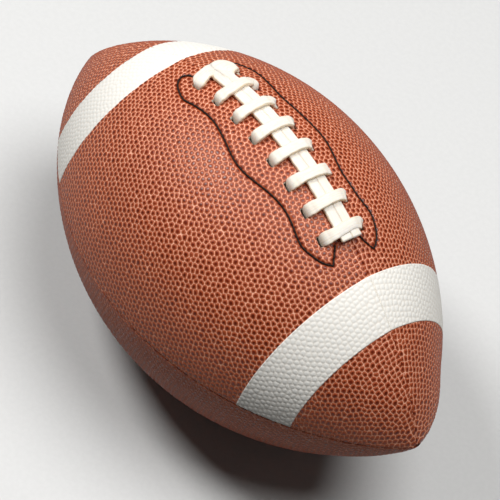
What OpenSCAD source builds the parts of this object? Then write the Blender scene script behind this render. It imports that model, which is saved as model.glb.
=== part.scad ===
// American football, smallest youth size, lying on its bottom seam with the laces up.
// Long axis along X with the near tip at +X, laces towards +Z, left side towards -Y.
// The origin is on the ground under the middle of the ball.

/* [Ball] */
// Length from tip to tip
ball_length = 249; // [200:1:300]
// How far the rounded tips stop short of the points where the crowns would meet
tip_short = 0.5; // [0:0.1:1]
// Width across the middles of two opposite panels
belly_width = 146.2; // [120:0.2:176]
// Distance from the ball's long axis to the axis that each panel is turned about
crease_offset = 6.2; // [3:0.1:10]

/* [Panels] */
// Thickness of the pebbled cover
panel_t = 1.6; // [1.2:0.1:2.2]
// Thickness of the edge that is turned in at a seam
flange_t = 1.2; // [0.8:0.1:1.6]
// Distance from a tip to the end of the turned-in edges
flange_end = 20; // [16:1:40]
// Gap between the two turned-in edges of a seam
seam_gap = 0.1; // [0.05:0.05:0.3]
// Width of the rolled edge on each side of a seam
groove_w = 0.6; // [0.3:0.1:1]
// Depth of the rolled edge below the skin
groove_depth = 0.5; // [0.2:0.1:0.8]

/* [Linings] */
// Thickness of the fabric lining
lining_t = 0.7; // [0.4:0.1:1]
// Glue gap between bonded layers
bond_gap = 0.05; // [0.02:0.01:0.1]
// Distance from a tip to the end of the linings
lining_end = 15; // [10:1:40]

/* [Stripes] */
// Width of a painted stripe
stripe_w = 21; // [10:0.5:30]
// Distance along the axis from a tip to its stripe
stripe_from_tip = 35.9; // [25:0.1:40]
// Distance along the axis from a stripe to the tips of the stitched outline
stripe_space = 10.2; // [4:0.1:14]
// Thickness of the paint
stripe_t = 0.15; // [0.1:0.01:0.3]
// Gap round the paint
stripe_gap = 0.03; // [0.02:0.01:0.06]

/* [Seams] */
// Distance between two stitches of a seam
seam_pitch = 6; // [5:0.5:12]
// Diameter of the seam thread
seam_thread_d = 0.7; // [0.5:0.1:0.9]
// Distance from a tip to the last stitch of a seam
seam_end = 25; // [24:1:45]
// Clearance round a thread
thread_gap = 0.1; // [0.05:0.01:0.2]

/* [Lacing] */
// Number of hole pairs
lace_rows = 8; // [4:2:8]
// Distance between the two rows of holes
hole_spread = 21.2; // [20.4:0.1:26]
// Distance of the lacing's middle from the ball's middle, towards the near tip
lacing_x = 0.5; // [0:0.1:3]
// Distance of the lacing's middle from the seam, towards the left
lacing_shift = 0.55; // [0:0.05:1.5]
// How far the lacing's near end turns to the left, and its far end to the right
lacing_turn = 1.5; // [0:0.1:2]
// How much nearer to the near tip the right hole of a pair lies than the left one
lacing_skew = 1.4; // [0:0.1:2]
// Width of the lace
lace_w = 4.5; // [4:0.1:5]
// Thickness of the lace
lace_t = 1.8; // [1.2:0.1:2]
// Gap between two runs of the lace
lace_gap = 0.45; // [0.42:0.01:0.6]
// Gap between the lace and what it lies on
lace_lift = 0.15; // [0.1:0.01:0.3]
// Clearance round the lace in its holes
lace_clear = 0.3; // [0.2:0.05:0.4]
// Length of the cut ends past the last bar
lace_tab = 1.6; // [1:0.1:5]
// Distance of the two lengthwise strands from the lacing's middle, towards the right
strand_shift = 1.1; // [0:0.1:2]
// Width of the open slit under the lacing
slit_w = 1.2; // [0.6:0.1:2]

/* [Facings] */
// Distance from the last pair of holes to the tips of the stitched outline
facing_end = 10.7; // [9:0.1:16]
// Distance from the lacing's middle to the crest of the left stitched outline
facing_w = 22.9; // [20:0.1:25]
// Thickness of a lace facing
facing_t = 0.9; // [0.6:0.1:1.2]
// Width of the facing outside its stitched outline
facing_rim = 1.8; // [1.2:0.1:2.4]
// Diameter of the facing thread
facing_thread_d = 0.7; // [0.5:0.1:0.9]
// Length of one facing stitch
facing_stitch = 3; // [2.5:0.1:5]
// Depth that the facing thread is pulled into the skin
facing_groove = 0.4; // [0.3:0.05:0.6]

/* [Bladder] */
// Wall of the bladder
bladder_t = 0.9; // [0.6:0.1:1.5]
// Gap round the bladder
bladder_gap = 0.35; // [0.3:0.01:0.5]
// Distance from a tip of the ball to an end of the bladder
bladder_end = 7; // [6:0.5:20]
// Thickness of the guard between lace and bladder
guard_t = 0.8; // [0.5:0.1:1.2]
// Distance that the guard reaches past the lacing holes on each side
guard_rim = 4.5; // [3:0.5:6]

/* [Valve] */
// Diameter of the inflating needle's guide hole
needle_d = 2.1; // [1.8:0.1:2.4]
// Depth of the guide hole
needle_depth = 9; // [6:0.5:12]
// Diameter of the rubber plug
valve_d = 8; // [6:0.1:9]
// Length of the rubber plug
valve_len = 14; // [13:0.5:20]
// Depth of the plug's mouth below the skin
valve_sink = 0.3; // [0.1:0.1:0.6]
// Clearance round the plug
valve_gap = 0.3; // [0.15:0.05:0.4]
// Diameter of the collar that holds the plug
collar_d = 14; // [12:0.5:18]
// Thickness of the collar
collar_t = 1.5; // [1:0.1:2]
// Diameter of the patch round the valve
patch_d = 26; // [22:0.5:34]
// Thickness of the patch
patch_t = 0.8; // [0.5:0.1:1.2]

/* [Hidden] */

// Direction of each panel's middle and each seam, turned from +Z towards -Y
lace_left_angle = 45;
under_left_angle = 135;
under_right_angle = 225;
lace_right_angle = 315;
top_angle = 0;
left_angle = 90;
bottom_angle = 180;
right_angle = 270;

// Colours
cover_colour = "#8a4630";
lining_colour = "#c9bfa8";
stripe_colour = "#f4f0e8";
facing_colour = "#5d3325";
black_thread_colour = "#1c1613";
seam_thread_colour = "#4a2418";
guard_colour = "#b9ac92";
lace_colour = "#f3ecd9";
bladder_colour = "#2a2a2c";
valve_colour = "#3a3a3d";

// The crown of a panel is an arc from tip to tip
half_len = ball_length / 2 + tip_short;
crown = belly_width / 2;
arc_r = (half_len * half_len + crown * crown) / (2 * crown);
arc_drop = arc_r - crown;
side_offset = crease_offset / sqrt(2);
cut_over = 1;
reach = ball_length;
sector = 108;

// Depths of the layers below the skin
lining_depth = panel_t + bond_gap;
lining_in = lining_depth + lining_t;
facing_depth = lining_in + bond_gap;
facing_in = facing_depth + facing_t;
bladder_depth = lining_in + bladder_gap;
flange_share = 0.13;
flange_depth = bladder_depth + flange_share * crease_offset;
bend_room = 0.4;
groove_room = 0.15;
under_bend = lace_t / 2 + bend_room;
run_start = facing_in + thread_gap;
run_depth = run_start + under_bend;
guard_depth = run_depth + lace_t / 2 + bladder_gap;
guard_pocket = guard_depth + guard_t + bladder_gap;
facing_pocket = facing_in + bladder_gap;

// Distance from a panel's own axis to a surface at a depth below its skin
function own_r(x, depth) = sqrt(pow(arc_r - depth, 2) - x * x) - arc_drop + crease_offset;

// Distance from the ball's axis to the crease of a seam at a depth below the skin
function seam_r(x, depth) = sqrt(pow(own_r(x, depth), 2) - side_offset * side_offset) - side_offset;

// Height of the ball's axis, so that the lowest edges of the bottom seam touch the ground
low_edge = groove_w + seam_gap / 2;
axis_z = sqrt(pow(own_r(0, 0), 2) - pow(low_edge + side_offset, 2)) - side_offset;

// Lacing layout
stripe_in = half_len - stripe_from_tip - stripe_w;
facing_half = stripe_in - stripe_space;
row_half = facing_half - facing_end;
lace_pitch = 2 * row_half / (lace_rows - 1);
hole_half = hole_spread / 2;
slot_l = lace_w + 2 * lace_clear;
slot_w = lace_t + 2 * lace_clear;
slit_half = row_half + lace_w;
facing_reach = facing_half + facing_rim + lacing_skew;
open_half = facing_reach + lacing_x;
tab_end = row_half + lace_w / 2 + lace_tab - lace_gap;
strand_y = (lace_w + lace_gap) / 2;
strand_h = lace_lift + lace_t / 2;
bar_h = lace_lift + lace_t + lace_gap + lace_t / 2;
over_bend = lace_t;
over_start = lace_lift;
guard_half = row_half + lace_w / 2 + guard_rim;
guard_side = hole_half + guard_rim;
guard_shift = lacing_shift + lacing_turn;
facing_side = facing_w + facing_rim + guard_shift;

// A place on the lace panels, from its distances along and across the lacing
function row_x(i) = i * lace_pitch - row_half;
function place_x(x, y) = x + lacing_x + lacing_skew * y / hole_spread;
function place_y(x, y) = y - lacing_shift - lacing_turn * x / row_half;
function side_of(y) = y < 0 ? -1 : 1;
function skin_z(x, y) = sqrt(pow(own_r(x, 0), 2) - pow(abs(y) + side_offset, 2)) - side_offset;
function skin_normal(x, y) =
    let (own = own_r(x, 0))
    let (sx = x / arc_r)
    let (cx = sqrt(1 - sx * sx))
    [sx, cx * (y + side_of(y) * side_offset) / own, cx * (skin_z(x, y) + side_offset) / own];
function ball_point(x, y, h) = [x, y, skin_z(x, y)] + h * skin_normal(x, y);
function on_lacing(x, y, h) = ball_point(place_x(x, y), place_y(x, y), h);

// Vector helpers
function unit(v) = v / norm(v);
function steps(a, b, n) = [for (i = [0 : n]) a + (b - a) * i / n];
function corner_curve(p0, p1, p2, p3, t) =
    0.5 * (2 * p1 + (p2 - p0) * t + (2 * p0 - 5 * p1 + 4 * p2 - p3) * t * t
    + (3 * p1 - p0 - 3 * p2 + p3) * t * t * t);

// A smooth line through a list of points, with a number of steps between two of them
function smooth_line(p, n) =
    let (last = len(p) - 1)
    [
        for (i = [0 : last - 1])
        for (k = [0 : n - 1])
        corner_curve(p[max(i - 1, 0)], p[i], p[i + 1], p[min(i + 2, last)], k / n),
        p[last],
    ];

// A tube through rings of equally many points, closed at both ends
module ring_tube(rings) {
    sides = len(rings[0]);
    last = len(rings) - 1;
    points = [for (ring = rings) for (p = ring) p];
    walls = [
        for (i = [0 : last - 1])
        for (k = [0 : sides - 1])
        let (a = i * sides + k)
        let (b = i * sides + (k + 1) % sides)
        for (face = [[a, b + sides, b], [a, a + sides, b + sides]])
        face,
    ];
    first_cap = [for (k = [1 : sides - 2]) [0, k, k + 1]];
    last_cap = [for (k = [1 : sides - 2]) [last * sides, last * sides + k + 1, last * sides + k]];
    polyhedron(points = points, faces = concat(walls, first_cap, last_cap));
}

// Direction of a line of points at point i
function line_dir(line, i) = unit(line[min(i + 1, len(line) - 1)] - line[max(i - 1, 0)]);

// A round ring across a line, with its first corner towards a given direction
function round_ring(centre, dir, up, r, sides) =
    let (u = unit(up - (up * dir) * dir))
    let (v = cross(dir, u))
    [for (k = [0 : sides - 1]) centre + r * (u * cos(360 * k / sides) + v * sin(360 * k / sides))];

// Everything stands on the ground
module on_ground() {
    translate([0, 0, axis_z])
    children();
}

// The solid inside one panel's skin at a depth, turned about that panel's own axis
module round_body(angle, depth) {
    rotate([angle, 0, 0])
    translate([0, 0, -crease_offset])
    rotate([0, -90, 0])
    rotate([0, 0, -sector / 2])
    rotate_extrude(angle = sector, $fn = 180)
    intersection() {
        translate([crease_offset - arc_drop, 0])
        circle(r = arc_r - depth, $fn = 360);
        translate([0, -reach])
        square([reach, 2 * reach]);
    }
}

// The quarter of space that belongs to one panel, at a distance from its two seam planes
module quarter(angle, inset) {
    tip = inset * sqrt(2);
    rotate([angle, 0, 0])
    rotate([90, 0, 90])
    linear_extrude(height = 2 * reach, center = true)
    polygon([[0, tip], [reach, reach + tip], [-reach, reach + tip]]);
}

// A block round the top of the ball
module top_block(half_x, half_y, shift_x) {
    translate([shift_x - half_x, -half_y, 0])
    cube([2 * half_x, 2 * half_y, reach]);
}

// A block across the ball from one place along X to another
module cross_block(x0, x1) {
    translate([x0, -reach, -reach])
    cube([x1 - x0, 2 * reach, 2 * reach]);
}

// Stitch places along a seam, at equal steps of the arc
stitch_end = half_len - seam_end;
stitch_sweep = 2 * asin(stitch_end / arc_r);
stitch_count = floor(stitch_sweep * PI / 180 * arc_r / seam_pitch);
stitch_xs = [
    for (i = [0 : stitch_count])
    arc_r * sin(stitch_sweep * (i / stitch_count - 1 / 2)),
];
top_first = open_half + seam_pitch / 2;
top_far_xs = [for (x = stitch_xs) if (x < -top_first) x];
top_near_xs = [for (x = stitch_xs) if (x > top_first) x];
stitch_depth = (panel_t + flange_depth) / 2;
stitch_side = seam_gap / 2 + flange_t + thread_gap + seam_thread_d / 2;
lining_edge = stitch_side + seam_thread_d / 2 + bladder_gap;

module stitch_holes(angle) {
    xs = angle == top_angle ? concat(top_far_xs, top_near_xs) : stitch_xs;
    for (x = xs)
    rotate([angle, 0, 0])
    translate([x, 0, seam_r(x, stitch_depth)])
    rotate([90, 0, 0])
    cylinder(d = seam_thread_d + 2 * thread_gap, h = 2 * stitch_side, center = true, $fn = 24);
}

// One thread along a seam, through both turned-in edges at every stitch place
module seam_thread_run(angle, xs) {
    line = [
        for (i = [0 : len(xs) - 1])
        for (k = [0, 1])
        let (side = (i + k) % 2 == 0 ? stitch_side : -stitch_side)
        [xs[i], side, seam_r(xs[i], stitch_depth)],
    ];
    rings = [
        for (i = [0 : len(line) - 1])
        round_ring(line[i], line_dir(line, i), [0, 0, 1], seam_thread_d / 2, 6),
    ];
    color(seam_thread_colour)
    rotate([angle, 0, 0])
    ring_tube(rings);
}

// Cuts for the lace at every hole, square to the skin
module lace_holes(side) {
    for (i = [0 : lace_rows - 1])
    let (x = row_x(i))
    let (place = on_lacing(x, side * hole_half, 0))
    let (n = skin_normal(place[0], place[1]))
    translate(place)
    rotate([-asin(n[1]), atan2(n[0], n[2]), 0])
    rotate([0, 0, -atan(lacing_skew / hole_spread)])
    translate([0, 0, -run_start - cut_over])
    lace_slot();
}

// A slot with round ends
module lace_slot() {
    height = run_start + 2 * cut_over;
    flat = slot_l - slot_w;
    for (end = [-1, 1])
    translate([end * flat / 2, 0, 0])
    cylinder(d = slot_w, h = height, $fn = 32);
    translate([-flat / 2, -slot_w / 2, 0])
    cube([flat, slot_w, height]);
}

// The stitched outlines of the lace facings: shares of their half length, and of the left and
// the right one's width
outline_shares = [
    [-0.94, 0.35, 0.35],
    [-0.985, 0.445, 0.445],
    [-0.975, 0.58, 0.58],
    [-0.905, 0.735, 0.74],
    [-0.77, 0.86, 0.85],
    [-0.655, 0.82, 0.84],
    [-0.545, 0.79, 0.805],
    [-0.415, 0.797, 0.775],
    [-0.26, 0.875, 0.815],
    [-0.08, 0.98, 0.87],
    [0.03, 1, 0.893],
    [0.14, 0.965, 0.87],
    [0.31, 0.845, 0.77],
    [0.405, 0.79, 0.738],
    [0.505, 0.765, 0.748],
    [0.605, 0.782, 0.768],
    [0.72, 0.823, 0.83],
    [0.79, 0.817, 0.823],
    [0.88, 0.725, 0.745],
    [0.95, 0.615, 0.63],
    [1, 0.465, 0.485],
];
return_shares = [
    [1, 0.465, 0.485],
    [0.94, 0.355, 0.375],
    [0.88, 0.25, 0.3],
];
function outline_at(shares, side) =
    let (column = side < 0 ? 1 : 2)
    [for (p = smooth_line(shares, 4)) [p[0] * facing_half, side * p[column] * facing_w]];
function stitch_outline(side) =
    let (there = outline_at(outline_shares, side))
    let (back = outline_at(return_shares, side))
    concat(there, [for (i = [1 : len(back) - 1]) back[i]]);

// The same outline on the ball, seen from above
function plan_outline(side) =
    [for (p = stitch_outline(side)) [place_x(p[0], p[1]), place_y(p[0], p[1])]];

// A line moved sideways by a distance
function beside(line, gap) =
    [
        for (i = [0 : len(line) - 1])
        let (d = line_dir(line, i))
        line[i] + gap * [-d[1], d[0]],
    ];

// A line drawn out by a distance at both ends
function drawn_out(line, by) =
    let (last = len(line) - 1)
    [
        for (i = [0 : last])
        let (way = i == 0 ? -1 : i == last ? 1 : 0)
        line[i] + way * by * line_dir(line, i),
    ];

// Groove for the facing thread
module facing_groove_cut(side) {
    width = facing_thread_d / 2 + groove_room;
    line = drawn_out(plan_outline(side), 2 * groove_room);
    there = beside(line, width);
    back = beside(line, -width);
    last = len(line) - 1;
    linear_extrude(height = reach)
    polygon(concat(there, [for (i = [0 : last]) back[last - i]]));
}

// Plan of a lace facing, a rim wider than its stitched outline
module facing_plan(side) {
    there = outline_at(outline_shares, side);
    plan = [for (p = there) [place_x(p[0], p[1]), place_y(p[0], p[1])]];
    rim = beside(plan, side * facing_rim);
    seam_side = side * slit_w / 2;
    near_x = rim[len(rim) - 1][0];
    far_x = rim[0][0];
    polygon(concat(rim, [[near_x, seam_side], [far_x, seam_side]]));
}

// Cover panel: skin, turned-in edges with stitch holes, and rolled edges along the seams
module panel_blank(angle) {
    difference() {
        union() {
            intersection() {
                round_body(angle, 0);
                quarter(angle, seam_gap / 2 + groove_w);
            }
            intersection() {
                round_body(angle, groove_depth);
                quarter(angle, seam_gap / 2);
            }
        }
        round_body(angle, flange_depth);
        intersection() {
            round_body(angle, panel_t);
            quarter(angle, seam_gap / 2 + flange_t);
        }
        for (end = [-1, 1])
        intersection() {
            round_body(angle, panel_t);
            translate([end * (half_len - flange_end + reach / 2), 0, 0])
            cube([reach, reach, reach], center = true);
        }
        stitch_holes(angle - 45);
        stitch_holes((angle + 45) % 360);
    }
}

module lace_panel(angle, side) {
    color(cover_colour)
    on_ground()
    difference() {
        panel_blank(angle);
        intersection() {
            round_body(angle, panel_t);
            top_block(open_half, hole_half, 0);
        }
        top_block(slit_half, slit_w / 2, lacing_x);
        lace_holes(side);
        difference() {
            facing_groove_cut(side);
            round_body(angle, facing_groove);
        }
        for (end = [-1, 1])
        difference() {
            stripe_block(end, 0);
            round_body(angle, stripe_t + stripe_gap);
        }
    }
}

module under_panel(angle, with_valve) {
    color(cover_colour)
    on_ground()
    difference() {
        panel_blank(angle);
        if (with_valve)
        valve_hole(valve_gap);
    }
}

// The length of ball that a stripe covers, less a gap at both edges
module stripe_block(end, gap) {
    outer = half_len - stripe_from_tip - gap;
    inner = stripe_in + gap;
    x0 = end < 0 ? -outer : inner;
    x1 = end < 0 ? -inner : outer;
    cross_block(x0, x1);
}

module stripe(angle, end) {
    color(stripe_colour)
    on_ground()
    intersection() {
        difference() {
            round_body(angle, 0);
            round_body(angle, stripe_t);
        }
        quarter(angle, seam_gap / 2 + groove_w + stripe_gap);
        stripe_block(end, stripe_gap);
    }
}

// Lining, glued to the inside of its panel between the turned-in edges
module lining_blank(angle) {
    intersection() {
        difference() {
            round_body(angle, lining_depth);
            round_body(angle, lining_in);
        }
        quarter(angle, lining_edge);
        cross_block(lining_end - half_len, half_len - lining_end);
    }
}

module lace_lining(angle, side) {
    color(lining_colour)
    on_ground()
    difference() {
        lining_blank(angle);
        lace_holes(side);
    }
}

module under_lining(angle, with_valve) {
    color(lining_colour)
    on_ground()
    difference() {
        lining_blank(angle);
        if (with_valve)
        valve_hole(valve_gap);
    }
}

// Lace facing, the strip that carries the lace holes inside the ball
module lace_facing(angle, side) {
    color(facing_colour)
    on_ground()
    difference() {
        intersection() {
            round_body(angle, facing_depth);
            linear_extrude(height = reach)
            facing_plan(side);
        }
        round_body(angle, facing_in);
        lace_holes(side);
    }
}

// Black thread that holds a facing, dipping at every stitch
module facing_stitching(side) {
    plan = stitch_outline(side);
    length = line_length(plan, len(plan) - 1);
    count = floor(length / facing_stitch);
    ring_count = 3 * count;
    high = facing_thread_d / 2 - facing_groove + 2 * thread_gap;
    low = facing_thread_d / 2 - facing_groove + thread_gap / 2;
    line = [
        for (i = [0 : ring_count])
        let (p = along_line(plan, length * i / ring_count, 0))
        on_lacing(p[0], p[1], i % 3 == 0 ? low : high),
    ];
    rings = [
        for (i = [0 : ring_count])
        round_ring(line[i], line_dir(line, i), [0, 0, 1], facing_thread_d / 2, 6),
    ];
    color(black_thread_colour)
    on_ground()
    ring_tube(rings);
}

// Length of a line up to a point, and the place at a distance along it
function line_length(line, last) =
    last == 0 ? 0 : norm(line[last] - line[last - 1]) + line_length(line, last - 1);
function along_line(line, distance, i) =
    let (step = norm(line[i + 1] - line[i]))
    distance <= step || i + 2 == len(line)
    ? line[i] + (line[i + 1] - line[i]) * min(distance / step, 1)
    : along_line(line, distance - step, i + 1);

// Guard between the lace's inner runs and the bladder
module guard_half_body(angle, depth) {
    intersection() {
        round_body(angle, depth);
        quarter(angle, 0);
    }
}

module guard_layer(depth) {
    guard_half_body(lace_left_angle, depth);
    guard_half_body(lace_right_angle, depth);
}

module lace_guard() {
    color(guard_colour)
    on_ground()
    intersection() {
        difference() {
            guard_layer(guard_depth);
            guard_layer(guard_depth + guard_t);
        }
        top_block(guard_half, guard_side + guard_shift, lacing_x);
    }
}

// Route of the lace: rows of place along, place across and height over the skin. One strand
// comes from its cut end, the lace then crosses at every pair of holes but the farthest, goes
// back under the bars inside and comes out as the other strand.
over_steps = 4;
under_steps = 3;
turn_share = 0.67;
turn_r = (lace_w + lace_gap) * turn_share;
lane_y = hole_half - turn_r - under_bend;
function reversed(list) = [for (i = [0 : len(list) - 1]) list[len(list) - 1 - i]];

// Bend from a hole over its edge, and from a hole to the run below
function bend_over(x, side) =
    [
        for (i = [0 : over_steps])
        let (a = 90 * i / over_steps)
        [x, side * (hole_half - over_bend * (1 - cos(a))), over_start + over_bend * sin(a)],
    ];
function bend_under(x, side) =
    [
        for (i = [0 : under_steps])
        let (a = 90 * i / under_steps)
        [x, side * (hole_half - under_bend * (1 - cos(a))), -run_start - under_bend * sin(a)],
    ];

// A bar over both strands, from one side to the other
bar_y_shares = [0.68, 0.5];
bar_h_shares = [0.89, 1];
bar_crest_share = 1.05;
function bar_side(x, side) =
    concat(
        bend_over(x, side),
        [for (k = [0, 1]) [x, side * hole_half * bar_y_shares[k], bar_h * bar_h_shares[k]]]
    );
function bar(i, side) =
    let (crest = [row_x(i), 0, bar_h * bar_crest_share])
    concat(bar_side(row_x(i), side), [crest], reversed(bar_side(row_x(i), -side)));

// A run inside, from one hole to another on the same side, along a lane nearer the seam
function flat_turn(x, side, way, lane) =
    [
        for (i = [0 : 3])
        let (a = 90 * i / 3)
        [x + way * turn_r * (1 - cos(a)), side * (lane + turn_r * (1 - sin(a))), -run_depth],
    ];
function run_end(i, side, way, lane) =
    concat(bend_under(row_x(i), side), flat_turn(row_x(i), side, way, lane));
function run_middle(x0, x1, side, lane, n) =
    [for (k = [1 : 1 : n - 1]) [x0 + (x1 - x0) * k / n, side * lane, -run_depth]];
function inner_run(i, j, side, lane) =
    let (way = j > i ? 1 : -1)
    let (x0 = row_x(i) + way * turn_r)
    let (x1 = row_x(j) - way * turn_r)
    concat(
        run_end(i, side, way, lane),
        run_middle(x0, x1, side, lane, 2 * abs(j - i) - 1),
        reversed(run_end(j, side, -way, lane))
    );

// A strand from its cut end along the lacing, then out in an arch to the first hole: shares
// of the lace's width along, of the way across, and of the rise from strand to bend
arch_x_shares = [0.45, -0.35, -0.95, -1.25, -1.05, -0.62, -0.18];
arch_y_shares = [0, 0, 0.07, 0.38, 0.7, 0.88, 0.97];
arch_h_shares = [0, 0.1, 0.6, 1.2, 1.5, 1.4, 1.15];
strand_steps = 4 * (lace_rows - 1);
function arch(x, side, y0) =
    let (end = bend_over(x, side)[over_steps])
    smooth_line(
        concat(
            [
                for (k = [0 : len(arch_x_shares) - 1])
                [
                    x + lace_w * arch_x_shares[k],
                    y0 + (end[1] - y0) * arch_y_shares[k],
                    strand_h + (end[2] - strand_h) * arch_h_shares[k],
                ],
            ],
            [end]
        ),
        2
    );
function strand(side) =
    let (y0 = strand_shift + side * strand_y)
    let (bend = reversed(bend_over(row_x(0), side)))
    concat(
        [for (x = steps(tab_end, row_x(0) + lace_w, strand_steps)) [x, y0, strand_h]],
        arch(row_x(0), side, y0),
        [for (i = [1 : over_steps]) bend[i]]
    );

lace_route = concat(
    strand(-1),
    [
        for (i = [0 : lace_rows - 2])
        let (side = i % 2 == 0 ? -1 : 1)
        for (p = concat(inner_run(i, i + 1, side, lane_y), bar(i + 1, side)))
        p,
    ],
    inner_run(lace_rows - 1, 0, 1, 0),
    reversed(strand(1))
);

// The lace's rings: flat on the skin with the edges drawn in, and never turned over
section_shares = [[1, 0], [0.8, 1], [-0.8, 1], [-1, 0], [-0.8, -1], [0.8, -1]];
flat_share = 0.3;
lace_line = [for (p = lace_route) on_lacing(p[0], p[1], p[2])];
function square_to(v, dir) = unit(v - (v * dir) * dir);
function width_dir(i, before) =
    let (dir = line_dir(lace_line, i))
    let (w = cross(skin_normal(lace_line[i][0], lace_line[i][1]), dir))
    norm(w) < flat_share ? square_to(before, dir) : square_to(w * before < 0 ? -w : w, dir);
lace_widths = [
    for (i = 0, w = width_dir(0, [0, 1, 0]); i < len(lace_line); i = i + 1, w = next_width(i, w))
    w,
];
function next_width(i, w) = i < len(lace_line) ? width_dir(i, w) : w;
lace_rings = [
    for (i = [0 : len(lace_line) - 1])
    let (w = lace_widths[i])
    let (u = cross(line_dir(lace_line, i), w))
    [for (s = section_shares) lace_line[i] + w * s[0] * lace_w / 2 + u * s[1] * lace_t / 2],
];

// Least distance between points of rings that are apart along the lace
near_rings = lace_w + 2 * lace_gap + lace_t;
step_lengths = [for (i = [1 : len(lace_line) - 1]) norm(lace_line[i] - lace_line[i - 1])];
way_along = [for (i = 0, sum = 0; i < len(lace_line); sum = sum + last_step(i), i = i + 1) sum];
function last_step(i) = i < len(step_lengths) ? step_lengths[i] : 0;
function ring_gap(a, b) = min([for (p = lace_rings[a]) for (q = lace_rings[b]) norm(p - q)]);
least_gap = min([
    for (a = [0 : len(lace_line) - 1])
    for (b = [a + 1 : 1 : len(lace_line) - 1])
    if (norm(lace_line[a] - lace_line[b]) < near_rings && way_along[b] - way_along[a] > near_rings)
    ring_gap(a, b),
]);

module lace() {
    echo("least gap of the lace to itself", least_gap);
    color(lace_colour)
    on_ground()
    ring_tube(lace_rings);
}

// Bladder: a thin bag turned about the ball's axis, pressed in under the lacing
module bag_body(depth) {
    bag_half = half_len - bladder_end - depth;
    rotate([0, -90, 0])
    rotate_extrude($fn = 180)
    intersection() {
        translate([-arc_drop, 0])
        circle(r = arc_r - depth, $fn = 360);
        translate([0, -bag_half])
        square([reach, 2 * bag_half]);
    }
}

module bag(depth, wall) {
    rim = bladder_gap + wall;
    difference() {
        bag_body(depth + wall);
        difference() {
            top_block(facing_reach + rim, facing_side + rim, lacing_x);
            guard_layer(facing_pocket + wall);
        }
        difference() {
            top_block(guard_half + rim, guard_side + guard_shift + rim, lacing_x);
            guard_layer(guard_pocket + wall);
        }
    }
}

module bladder() {
    color(bladder_colour)
    on_ground()
    difference() {
        bag(bladder_depth, 0);
        bag(bladder_depth, bladder_t);
        valve_hole(bond_gap);
    }
}

// Valve, square to the middle of the lower right panel
patch_depth = bladder_depth + bladder_t + bond_gap;
patch_in = patch_depth + patch_t;
collar_drop = crown - patch_in - sqrt(pow(crown - patch_in, 2) - pow(collar_d / 2, 2));
collar_depth = patch_in + collar_drop + bond_gap;

module on_valve() {
    rotate([under_right_angle, 0, 0])
    children();
}

module valve_hole(gap) {
    on_valve()
    translate([0, 0, crown / 2])
    cylinder(d = valve_d + 2 * gap, h = crown, $fn = 96);
}

module valve_patch() {
    color(valve_colour)
    on_ground()
    intersection() {
        difference() {
            bag_body(patch_depth);
            bag_body(patch_in);
            valve_hole(bond_gap);
        }
        on_valve()
        cylinder(d = patch_d, h = crown, $fn = 96);
    }
}

module valve() {
    mouth = crown - valve_sink;
    color(valve_colour)
    on_ground()
    on_valve()
    difference() {
        union() {
            translate([0, 0, mouth - valve_len])
            cylinder(d = valve_d, h = valve_len, $fn = 96);
            translate([0, 0, crown - collar_depth - collar_t])
            cylinder(d = collar_d, h = collar_t, $fn = 96);
        }
        translate([0, 0, mouth - needle_depth])
        cylinder(d = needle_d, h = needle_depth + cut_over, $fn = 48);
    }
}

module panel_lace_left() { lace_panel(lace_left_angle, -1); }
module panel_lace_right() { lace_panel(lace_right_angle, 1); }
module panel_under_left() { under_panel(under_left_angle, false); }
module panel_under_right() { under_panel(under_right_angle, true); }
module lining_lace_left() { lace_lining(lace_left_angle, -1); }
module lining_lace_right() { lace_lining(lace_right_angle, 1); }
module lining_under_left() { under_lining(under_left_angle, false); }
module lining_under_right() { under_lining(under_right_angle, true); }
module stripe_left_near() { stripe(lace_left_angle, 1); }
module stripe_left_far() { stripe(lace_left_angle, -1); }
module stripe_right_near() { stripe(lace_right_angle, 1); }
module stripe_right_far() { stripe(lace_right_angle, -1); }
module lace_facing_left() { lace_facing(lace_left_angle, -1); }
module lace_facing_right() { lace_facing(lace_right_angle, 1); }
module facing_stitching_left() { facing_stitching(-1); }
module facing_stitching_right() { facing_stitching(1); }

module seam_thread_top() {
    on_ground() {
        seam_thread_run(top_angle, top_far_xs);
        seam_thread_run(top_angle, top_near_xs);
    }
}
module seam_thread_left() {
    on_ground()
    seam_thread_run(left_angle, stitch_xs);
}
module seam_thread_bottom() {
    on_ground()
    seam_thread_run(bottom_angle, stitch_xs);
}
module seam_thread_right() {
    on_ground()
    seam_thread_run(right_angle, stitch_xs);
}

panel_lace_left();
panel_lace_right();
panel_under_left();
panel_under_right();
lining_lace_left();
lining_lace_right();
lining_under_left();
lining_under_right();
stripe_left_near();
stripe_left_far();
stripe_right_near();
stripe_right_far();
lace_facing_left();
lace_facing_right();
facing_stitching_left();
facing_stitching_right();
seam_thread_top();
seam_thread_left();
seam_thread_bottom();
seam_thread_right();
lace_guard();
lace();
bladder();
valve_patch();
valve();
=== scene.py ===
"""American football, youth size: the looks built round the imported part."""

import bpy
import numpy as np
from mathutils import Matrix


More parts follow.
